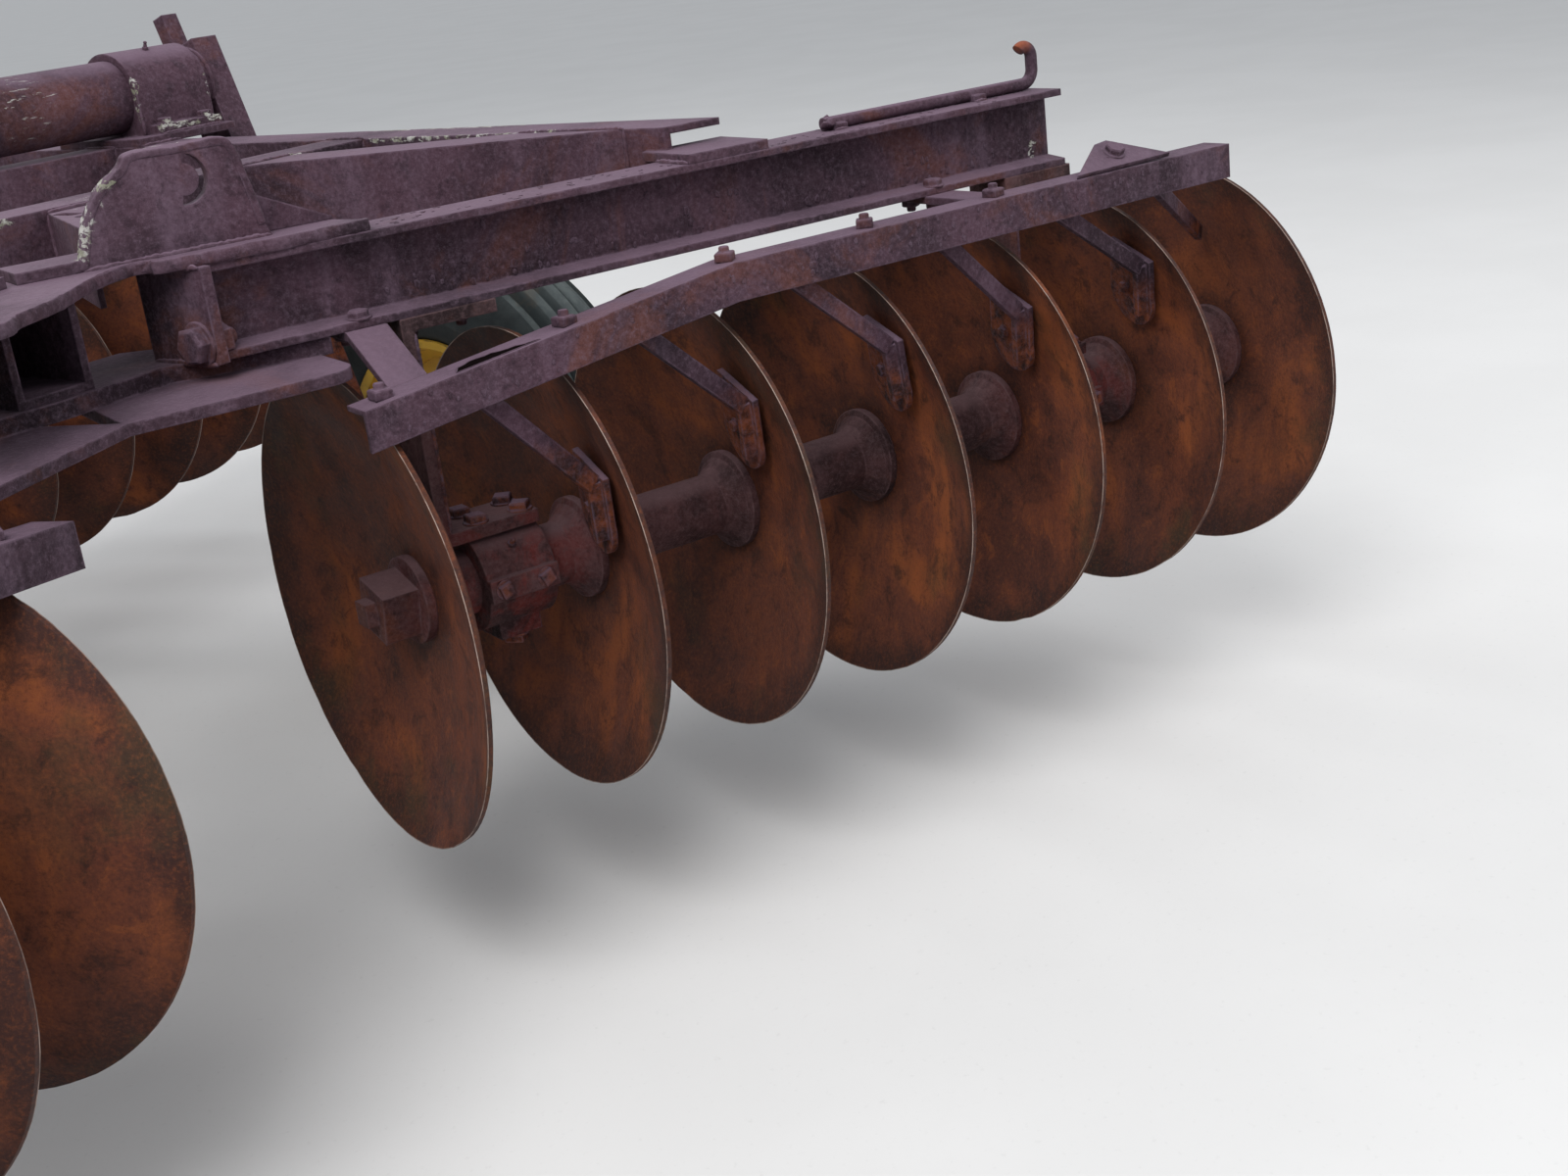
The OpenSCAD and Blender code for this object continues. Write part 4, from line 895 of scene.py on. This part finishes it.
def on_scraper(k, x, y, z):
    """Place on scraper blade k: x across it, y up along it, z out from the dish's centre."""
    _, v, w = SCRAPERS[k - 1]
    spin = math.atan2(w, v)
    tilt = math.asin(math.hypot(v, w) / SCRAPER_REACH)
    turn = math.atan2(BEAM_RISE - BEAM_H - w, FOOT_V - v) - spin
    outward = Vector((0, math.cos(spin), math.sin(spin)))
    round_it = Vector((0, -math.sin(spin), math.cos(spin)))
    away = outward * math.cos(tilt) - ACROSS * math.sin(tilt)
    normal = outward * math.sin(tilt) + ACROSS * math.cos(tilt)
    up = round_it * math.sin(turn) + away * math.cos(turn)
    across = away * math.sin(turn) - round_it * math.cos(turn)
    return Vector((k * DISC_PITCH + SPHERE_U, 0, 0)) + normal * z + up * y + across * x


def draw_point(y, across, rise):
    """Point on the right drawbar tube: distances from its middle line, inwards and up."""
    along = DRAW_TO - DRAW_FROM
    out = Vector((along.y, -along.x, 0)).normalized()
    base = DRAW_FROM - out * across + out.cross(along).normalized() * rise
    return base + along * ((y - base.y) / along.y)


# Bolts
def gang_bolts():
    """Bolts of the scrapers, the bars' legs, the hangers and the bearing housings."""
    heap = Heap()
    under = BAR_T + SHANK_GAP + SHANK_T + 0.0001
    for gang in GANGS:
        for k in range(1, DISC_COUNT):
            foot, lost = gang.foot(k)
            u = max(foot - BOLT_BACK[k - 1], -0.010)
            bolt(heap, gang.stacked(u, FOOT_V, bar_top(u) - under), -UP, 0.0130, 4, under)
            if not lost:
                for y in (0.010, 0.054):
                    face = gang.stacked(*on_scraper(k, 0.012, y, SCRAPER_REACH))
                    inward = gang.stacked(*on_scraper(k, 0.012, y, SCRAPER_REACH - 0.1)) - face
                    bolt(heap, face, inward, 0.0085, 6)
        for u in BAR_LEGS:
            place = gang.stacked if gang.front else gang.at
            for v in (-0.025, 0.025):
                bolt(heap, place(u, v, FLANGE_RISE), UP, 0.013, 6, BEAM_FLANGE_T + 0.010)
        for k in BEARING_AFTER:
            u = BEARING_U + k * DISC_PITCH
            for du in (-0.046, 0.018):
                at = gang.stacked(u + du, 0.025, FLANGE_RISE)
                bolt(heap, at, UP, 0.014, 6, BEAM_FLANGE_T + 0.016)
            for du in (-0.030, 0.030):
                for v in (-0.022, 0.022):
                    bolt(heap, gang.stacked(u + du, v, 0.076), UP, 0.0135, 4)
            for v in (-0.018, 0.018):
                bolt(heap, gang.stacked(u, v, -0.074), -UP, 0.0150, 4)
            for du in (-0.028, 0.028):
                for s in SIDES:
                    bolt(heap, gang.stacked(u + du, s * 0.068, 0), gang.ahead * s, 0.0105, 4)
            grease_nipple(heap, gang.stacked(u, -0.0438, 0.0438), UP - gang.ahead)
    heap.mesh("gang_bolts")


def frame_bolts():
    """Bolts, nipples and cotters of the splices, the rockshaft bearings, the drawbar and the jack."""
    heap = Heap()
    for side in SIDES:
        for front in (False, True):
            at = (side * END_PLATE_IN, beam_y(front, BEAM_IN) - 0.030, 0.828)
            bolt(heap, at, (-side, 0, 0), 0.0215, 6, 0.014)
        for x, through in ((0.205, True), (0.262, True), (0.322, False)):
            for off in (-0.026, 0.026):
                y = beam_y(True, x) + off
                bolt(heap, (side * x, y, PLATE_TOP), UP, 0.0145, 6)
                if through:
                    bolt(heap, (side * x, y, BEAM_LOW - 0.020), -UP, 0.0145, 6)
    for side in SIDES:
        for x, _, half, *_ in SHAFT_BEARINGS:
            for dx in (-half, half):
                for dy in (-0.083, 0.083):
                    bolt(heap, (side * x + dx, SHAFT.y + dy, BEARING_FOOT_TOP), UP, 0.0118, 6)
        top = (side * SHAFT_BEARINGS[0][0], SHAFT.y - 0.020, SHAFT.z + 0.065)
        grease_nipple(heap, top, (0, -0.3, 1))
        # Drawbar plates on the front beams, and the hitch plate
        gang = GANGS[2] if side < 0 else GANGS[3]
        for du in (-0.060, 0.060):
            for w in (0.354, 0.422):
                bolt(heap, gang.at(DRAW_PLATE_U + du, 0.050, w), gang.ahead, 0.015, 6)
        for dz in (-0.036, 0.046):
            bolt(heap, (side * 0.088, HITCH_Y, HITCH_Z + dz), (0, 1, 0), 0.017, 6, 0.020)
    # Bolts on the beam beside the hooked rod
    bolt(heap, REAR_RIGHT.at(0.868, 0.026, BEAM_RISE), UP, 0.0125, 6)
    bolt(heap, REAR_RIGHT.at(0.965, 0.028, BEAM_RISE), UP, 0.0115, 4)
    grease_nipple(heap, LINK_PINS[0] + UP * 0.027, UP)
    for side in SIDES:
        for pin in LINK_PINS:
            cotter(heap, pin, side * 0.042)
    # Screws round the jack's collar
    for a in (0.6, 2.7, 4.8):
        out = Vector((math.cos(a), math.sin(a), 0))
        bolt(heap, Vector((0, JACK_Y, COLLAR_Z)) + out * 0.040, out, 0.008, 6)
    heap.mesh("frame_bolts")


# Welds; the three lists of straight ones below hold (start, end, radius) on the right side
def rail_welds():
    """Welds of the rails, the cross members and the braces."""
    low = RAIL_LOW + 0.004
    for y in CROSS_Y:
        for x in (RAIL_IN, CENTRE_RAIL_OUT):
            for dy in (-CROSS_HALF, CROSS_HALF):
                yield (x, y + dy, low), (x, y + dy, RAIL_TOP - 0.002), WELD
        yield (RAIL_IN, y - CROSS_HALF, RAIL_TOP), (RAIL_IN, y + CROSS_HALF, RAIL_TOP), WELD
    y = CROSS_Y[0] - CROSS_HALF
    for x in BRACE_X:
        yield (x, y, low), (x, y, RAIL_TOP), WELD
    yield (BRACE_X[0], y, RAIL_TOP), (BRACE_X[1], y, RAIL_TOP), WELD
    near, far = BRACE_BACK
    for back in (near, far):
        yield (RAIL_IN, y - back, low), (RAIL_IN, y - back, RAIL_TOP), WELD
    yield (RAIL_IN, y - far, RAIL_TOP), (RAIL_IN, y - near, RAIL_TOP), WELD


def bearing_welds():
    """Welds of the rockshaft bearings on their plates."""
    foot = RAIL_TOP + PLATE_T
    for x, half, _, plate_in, plate_out in SHAFT_BEARINGS:
        plate_out = min(plate_out, RAIL_OUT - 0.004)
        strap = x - half - 0.010
        for s in SIDES:
            y = SHAFT.y + s * 0.098
            yield (x - half, y, foot), (x + half, y, foot), WELD
            y = SHAFT.y + s * 0.105
            yield (plate_in + 0.004, y, RAIL_TOP + 0.001), (plate_out, y, RAIL_TOP + 0.001), WELD
            y = SHAFT.y + s * 0.068
            yield (strap, y, foot), (strap, y, 1.000), WELD


def joint_welds():
    """Welds of the beams' end plates, the hitch plate and the drawbar."""
    for front in (False, True):
        y = beam_y(front, BEAM_IN)
        for dy in (-0.0048, 0.0048):
            yield (BEAM_IN, y + dy, BEAM_LOW + 0.012), (BEAM_IN, y + dy, BEAM_TOP - 0.012), 0.004
        for z in (BEAM_LOW + BEAM_FLANGE_T, BEAM_TOP - BEAM_FLANGE_T):
            yield (BEAM_IN + 0.0005, y - 0.038, z), (BEAM_IN + 0.0005, y + 0.038, z), 0.004
        for z in (BEAM_LOW, BEAM_TOP):
            yield (END_PLATE_IN, y - 0.052, z), (END_PLATE_IN, y + 0.052, z), 0.004
    for dz in (-0.045, -0.025, 0.025, 0.045):
        yield (0.002, HITCH_Y, HITCH_Z + dz), (0.045, HITCH_Y, HITCH_Z + dz), 0.0038
    half = DRAW_HALF
    for y in TIE_Y:
        for dy in (-half, half):
            yield draw_point(y + dy, half, -0.034), draw_point(y + dy, half, 0.034), WELD
        yield draw_point(y - half, half, 0.036), draw_point(y + half, half, 0.030), WELD
    y = DRAW_END_Y
    for rise in (-half, half):
        yield draw_point(y, -half, rise), draw_point(y, 0.030, rise), 0.004
    yield draw_point(y, -half, -half), draw_point(y, -half, half), 0.004


def gang_welds(heap):
    """Welds of the slot brackets, the hangers and the legs of the scraper bars."""
    for gang in REAR_GANGS:
        for v in (-0.007, 0.007):
            path = [gang.at(u, v, BEAM_RISE + PLATE_T) for u in (-0.228, -0.150, -0.080, -0.024)]
            bead(heap, path, 0.0042)
        bead(heap, [gang.at(-0.218, v, BEAM_RISE + 2 * PLATE_T) for v in (-0.005, 0.004)], 0.004)
    for gang in GANGS:
        for k in BEARING_AFTER:
            u = BEARING_U + k * DISC_PITCH - 0.070
            for v in (-0.038, 0.038):
                bead(heap, [gang.stacked(u, v * 0.98, w) for w in (0.080, 0.316)], 0.0025)
        for leg in BAR_LEGS:
            place = gang.stacked if gang.front else gang.at
            for u in (leg - 0.025, leg + 0.025):
                under = bar_top(u) - BAR_T - 0.001
                bead(heap, [place(u, v, under) for v in (-0.143, -0.180)], 0.003)


def end_welds(heap, side):
    """Welds of the rear top plate, the rails' tongues and the adjusting bar on one side."""
    x, y = TOP_PLATE_OUT + 0.001, beam_y(False, TOP_PLATE_OUT)
    bead(heap, [(side * x, y + dy, BEAM_TOP + 0.001) for dy in (-0.036, 0.036)], 0.0042)
    for front, blade_x in ((False, REAR_X), (True, FRONT_X)):
        gang = GANGS[2 * front + (side > 0)]
        inner = (RAIL_IN - blade_x) / math.cos(GANG_ANGLE) - 0.030
        for u in (inner, inner + 0.120):
            bead(heap, [gang.at(u, v, BEAM_RISE + 0.001) for v in (-0.036, 0.036)], 0.004)
    x, y, z = ADJUST_X, CROSS_Y[0] - CROSS_HALF, ADJUST_TOP + 0.001
    bead(heap, mirrored(side, (x, y, 0.860), (x, y, 0.944)), 0.0036)
    bead(heap, mirrored(side, (x, y, z), (x + ADJUST_W, y, z)), 0.0036)


def rod_welds(heap):
    """Welds of the hooked rod's blocks and the blob at its inner end."""
    at = REAR_RIGHT.at
    for u in (0.753, 0.995):
        for v in (-0.002, 0.026):
            bead(heap, [at(u, v, BEAM_RISE), at(u + 0.022, v, BEAM_RISE)])
        bead(heap, [at(u, 0.004, BEAM_RISE + 0.007), at(u + 0.022, 0.004, BEAM_RISE + 0.007)], 0.003)
    blob = []
    for i in range(7):
        v = 0.012 - 0.016 * math.sin(i)
        blob.append(at(0.742 + 0.004 * i, v, BEAM_RISE + 0.006 + 0.004 * (i % 3)))
    bead(heap, blob, 0.0068)


def lug_welds(heap):
    """Welds of the lugs of the lift cylinder and the levelling link, and of the jack's tube."""
    # Faces of a pair of lugs, their two ends, the height and the bead
    pairs = [((0.024, 0.040), -0.024, 0.064, PLATE_TOP, 0.0036)]
    for pin, z in zip(LINK_PINS, LINK_LUGS_LOW):
        pairs.append(((0.018, 0.034), pin.y - 0.029, pin.y + 0.029, z, 0.0032))
    for faces, start, end, z, radius in pairs:
        for x in faces:
            for side in SIDES:
                bead(heap, [(side * x, start, z), (side * x, end, z)], radius)
    bead(heap, circle((0, JACK_Y, JACK_TUBE_LOW), UP, 0.049), 0.0036)


def frame_welds():
    """Every weld of the frame."""
    heap = Heap()
    for side in SIDES:
        for welds in (rail_welds(), bearing_welds(), joint_welds()):
            for start, end, radius in welds:
                bead(heap, mirrored(side, start, end), radius)
    gang_welds(heap)
    for side in SIDES:
        end_welds(heap, side)
    rod_welds(heap)
    lug_welds(heap)
    heap.mesh("frame_welds", sharp=60)


# Lift
def lift_details():
    """Welds and cotters on the rockshaft and its wheel arms."""
    welds = Heap()
    small = Heap()
    # Rings round the shaft and the spindles: middle, distance out, radius and bead
    outer = ARM_X + ARM_HALF
    rings = (
        (SHAFT, 0.024, SHAFT_R + 0.0015, 0.0038),
        (SHAFT, 0.040, SHAFT_R + 0.0015, 0.0038),
        (SHAFT, ARM_X - 0.025, SHAFT_R - 0.0005, 0.0045),
        (SPINDLE, ARM_X - ARM_HALF, 0.0515, 0.0036),
        (SPINDLE, outer, 0.0515, 0.0036),
        (SPINDLE, outer, 0.034, 0.0042),
    )
    for side in SIDES:
        for middle, x, radius, thick in rings:
            bead(welds, circle((side * x, middle.y, middle.z), ACROSS, radius), thick)
        cotter(small, LEVER_PIN, side * 0.048)
    welds.mesh("lift_welds", "lift", sharp=60)
    small.mesh("lift_cotters", "lift")


def cylinder_details():
    """Port plugs, gland bolts, wiper and pin's cotters of the lift cylinder."""
    along = (LEVER_PIN - BARREL_PIN).normalized()
    up = Vector((0, -along.z, along.y))
    up = up if up.z > 0 else -up
    gland = axes(BARREL_PIN + along * BARREL_LEN, along)
    wiper = [(0.0275, -0.001), (0.0275, 0.006), (0.0245, 0.010), (0.0200, 0.010)]
    heap = Heap()
    for reach in (0.084, 0.278):
        plug = axes(BARREL_PIN + along * reach + up * 0.065, up)
        heap.add(*turned(6, [(0.0105, -0.001), (0.0105, 0.009), (0.0090, 0.011)]), plug)
        heap.add(*turned(4, [(0.0058, 0.010), (0.0058, 0.019), (0.0048, 0.020)]), plug)
    for i in range(6):
        a = i * math.tau / 6 + 0.2
        bolt(heap, gland @ Vector((0.037 * math.cos(a), 0.037 * math.sin(a), 0)), along, 0.0085, 6)
    heap.add(*turned(32, wiper), gland)
    for side in SIDES:
        cotter(heap, BARREL_PIN, side * 0.048)
    heap.mesh("cylinder_fittings", "cylinder")


# Plates and bars
# The rear splice plate's torn edge, as (x, back from where the beams meet)
TORN_BACK = (
    (-0.265, 0.190), (-0.145, 0.199), (-0.100, 0.169), (-0.040, 0.139),
    (0.045, 0.079), (0.107, 0.054), (0.126, 0.066), (0.142, 0.092),
)
# A slot bracket's edge, as (u, up from the plate)
BRACKET_EDGE = (
    (-0.230, 0.002), (-0.214, 0.050), (-0.195, 0.0774), (-0.170, 0.0948), (-0.155, 0.108),
    (-0.108, 0.1085), (-0.061, 0.109), (-0.047, 0.100), (-0.038, 0.0676), (-0.028, 0.014),
)
# Corners of the lug plate at a bar's outer end, as (u, v, up from the bar)
LUG_CORNERS = ((1.000, -0.187, 0.000), (1.078, -0.140, 0.026), (1.102, -0.138, 0.028), (1.172, -0.187, 0.002))
# The tear in the right bar: its start and length along the bar, and the flange's edge
TEAR_U = 0.083
TEAR_LEN = 0.105
TEAR_V = -0.1845


def torn_edges():
    """Torn and flame cut edges of the rear splice plate and the slot brackets."""
    heap = Heap()
    z = BEAM_TOP + PLATE_T / 2
    end = beam_y(False, TOP_PLATE_OUT) - BEAM_W / 2
    points = [(x, REAR_MEETS - back, z) for x, back in TORN_BACK]
    points = [(-TOP_PLATE_OUT, end, z)] + points + [(TOP_PLATE_OUT, end, z)]
    lip(heap, smooth(points, 14), UP, PLATE_T, 0.012, 0.0022, 3.0)
    for gang in REAR_GANGS:
        path = smooth([gang.at(u, 0, BEAM_RISE + PLATE_T + w) for u, w in BRACKET_EDGE], 10)
        lip(heap, path, gang.ahead * gang.side, 0.014, 0.007, 0.0016, 8.0 + gang.side)
    heap.mesh("torn_edges", sharp=50)


def scraper_shanks():
    """Flat ends of the scrapers under the bars, from each foot to its bolt."""
    heap = Heap()
    for gang in GANGS:
        for k in range(1, DISC_COUNT):
            foot, _ = gang.foot(k)
            end = max(foot - BOLT_BACK[k - 1] - 0.018, -0.026)
            points = []
            for u, wide in ((end, 0.012), (end + 0.004, 0.016), (foot - 0.016, 0.016)):
                top = bar_top(u) - BAR_T - SHANK_GAP
                corners = ((-wide, 0), (wide, 0), (wide, SHANK_T), (-wide, SHANK_T))
                points += [gang.stacked(u, FOOT_V + v, top - t) for v, t in corners]
            heap.add(points, skin(3, 4))
    heap.mesh("scraper_shanks", "frame", "cast_parts")


def bar_lugs():
    """Lug plate bent up at the outer end of each rear scraper bar."""
    heap = Heap()
    for gang in REAR_GANGS:
        low = [gang.at(u, v, bar_top(u) + w) for u, v, w in LUG_CORNERS]
        normal = (low[1] - low[0]).cross(low[3] - low[0]).normalized()
        normal = normal if normal.z > 0 else -normal
        heap.add(low + [q + normal * BAR_T for q in low], skin(2, 4))
        middle = low[0].lerp(low[3], 0.53).lerp((low[1] + low[2]) / 2, 0.5)
        bolt(heap, middle + normal * BAR_T, normal, 0.0135, 6)
    heap.mesh("bar_lugs")


def bar_tear():
    """Tear in the flange of the rear right scraper bar: a near-black sheet of painted shade fills its
    opening, with thin lips along its sides.
    """
    near = []
    far = []
    for i in range(13):
        t = i / 12
        u = TEAR_U + TEAR_LEN * t
        wide = 0.023 * math.sin(math.pi * t) ** 0.6 * (1.45 - 1.25 * t) + 0.0018 * math.sin(i * 2.3)
        near.append(REAR_RIGHT.at(u, TEAR_V, bar_top(u) + 0.0002))
        far.append(REAR_RIGHT.at(u, TEAR_V + max(0.0004, wide) + 0.001, bar_top(u) + 0.0002))
    ring = near + far[::-1]
    # Near-black sheet of painted shade standing in the tear's opening
    dark = Heap()
    dark.add([q - UP * 0.002 for q in ring] + [q + UP * 0.0003 for q in ring], skin(2, len(ring)))
    dark.mesh("bar_tear", sharp=20, material=TEAR_PAINTED_SHADE)
    lips = Heap()
    bead(lips, far, 0.0011)
    bead(lips, near, 0.0008)
    lips.mesh("bar_tear_lips", sharp=60)


def flake(heap, at, normal, size):
    """Thin scab of rust with a ragged outline."""
    count = random.randint(6, 9)
    ring = []
    for i in range(count):
        a = (i + random.uniform(-0.3, 0.3)) * math.tau / count
        r = size * random.uniform(0.55, 1.1)
        ring.append((r * math.cos(a) * 1.5, r * math.sin(a)))
    t = random.uniform(0.0004, 0.0009)
    points = [(x, y, -0.0006) for x, y in ring] + [(x * 0.93, y * 0.93, t) for x, y in ring]
    heap.add(points, skin(2, count), axes(at, normal))


def scale_flakes():
    """Scabs of rust on the beams' webs, flanges and tops and on the scraper bars."""
    heap = Heap()
    for gang in GANGS:
        length = 1.30 if gang.front else 1.08
        for _ in range(WEB_FLAKES):
            u = random.uniform(0.08, length)
            side = random.choice(SIDES)
            w = FLANGE_RISE + 0.008 + (BEAM_H - 0.034) * random.random() ** 1.8
            at = gang.at(u, side * BEAM_WEB_T / 2, w)
            flake(heap, at, gang.ahead * side, random.uniform(0.002, 0.0055))
        for _ in range(FLANGE_FLAKES):
            u = random.uniform(0.08, length)
            v = random.choice(SIDES) * random.uniform(0.012, 0.034)
            flake(heap, gang.at(u, v, FLANGE_RISE), UP, random.uniform(0.002, 0.006))
        for _ in range(TOP_FLAKES):
            u = random.uniform(0.10, length)
            v = random.uniform(-0.034, 0.034)
            flake(heap, gang.at(u, v, BEAM_RISE), UP, random.uniform(0.0015, 0.004))
        for _ in range(BAR_FLAKES):
            u = random.uniform(0.0, GANG_LEN - 0.11)
            w = bar_top(u) - random.uniform(0.006, 0.040)
            flake(heap, gang.stacked(u, -BAR_BACK, w), -gang.ahead, random.uniform(0.0015, 0.004))
    heap.mesh("scale_flakes", sharp=20)


# Stage
def add_floor():
    """Wide pale floor."""
    size = 300.0
    corners = [(-size, -size, 0), (size, -size, 0), (size, size, 0), (-size, size, 0)]
    mesh = bpy.data.meshes.new("floor")
    mesh.from_pydata(corners, [], [[0, 1, 2, 3]])
    mesh.materials.append(floor_finish("floor_finish"))
    floor = bpy.data.objects.new("floor", mesh)
    bpy.context.collection.objects.link(floor)


def add_light():
    """Pale sky and three soft lamps."""
    world = bpy.data.worlds.new("studio")
    world.use_nodes = True
    sky = world.node_tree.nodes["Background"]
    sky.inputs["Color"].default_value = (0.86, 0.90, 0.95, 1)
    sky.inputs["Strength"].default_value = 0.75
    bpy.context.scene.world = world
    # name, place, aim, width, watts
    lamps = (
        ("key", (-3.5, -3.0, 5.5), (0.3, -0.8, 0.5), 4.0, 420),
        ("fill", (4.5, -5.0, 4.0), (0.6, -0.8, 0.5), 5.0, 150),
        ("back", (1.0, 6.0, 5.0), (0.0, 0.0, 0.5), 5.0, 200),
    )
    for name, at, aim, width, watts in lamps:
        data = bpy.data.lights.new(name, "AREA")
        data.size = width
        data.energy = watts
        lamp = bpy.data.objects.new(name, data)
        lamp.location = at
        lamp.rotation_euler = (Vector(aim) - Vector(at)).to_track_quat("-Z", "Y").to_euler()
        bpy.context.collection.objects.link(lamp)


def add_camera():
    """The photograph's camera."""
    data = bpy.data.cameras.new("photo_view")
    data.lens = CAMERA_LENS
    data.sensor_width = CAMERA_SENSOR
    camera = bpy.data.objects.new("photo_view", data)
    ahead = Vector(CAMERA_AHEAD).normalized()
    right = Vector(CAMERA_RIGHT).normalized()
    turn = Matrix((right, right.cross(ahead), -ahead)).transposed().to_4x4()
    turn.translation = Vector(CAMERA_AT)
    camera.matrix_world = turn
    bpy.context.collection.objects.link(camera)
    bpy.context.scene.camera = camera
    bpy.context.scene.view_settings.view_transform = "Standard"


dress_frame()
blades()
for side in ("left", "right"):
    tyre(side)
    wheel_details(side)
gang_bolts()
frame_bolts()
frame_welds()
lift_details()
cylinder_details()
torn_edges()
scraper_shanks()
bar_lugs()
bar_tear()
scale_flakes()
add_floor()
add_light()
add_camera()
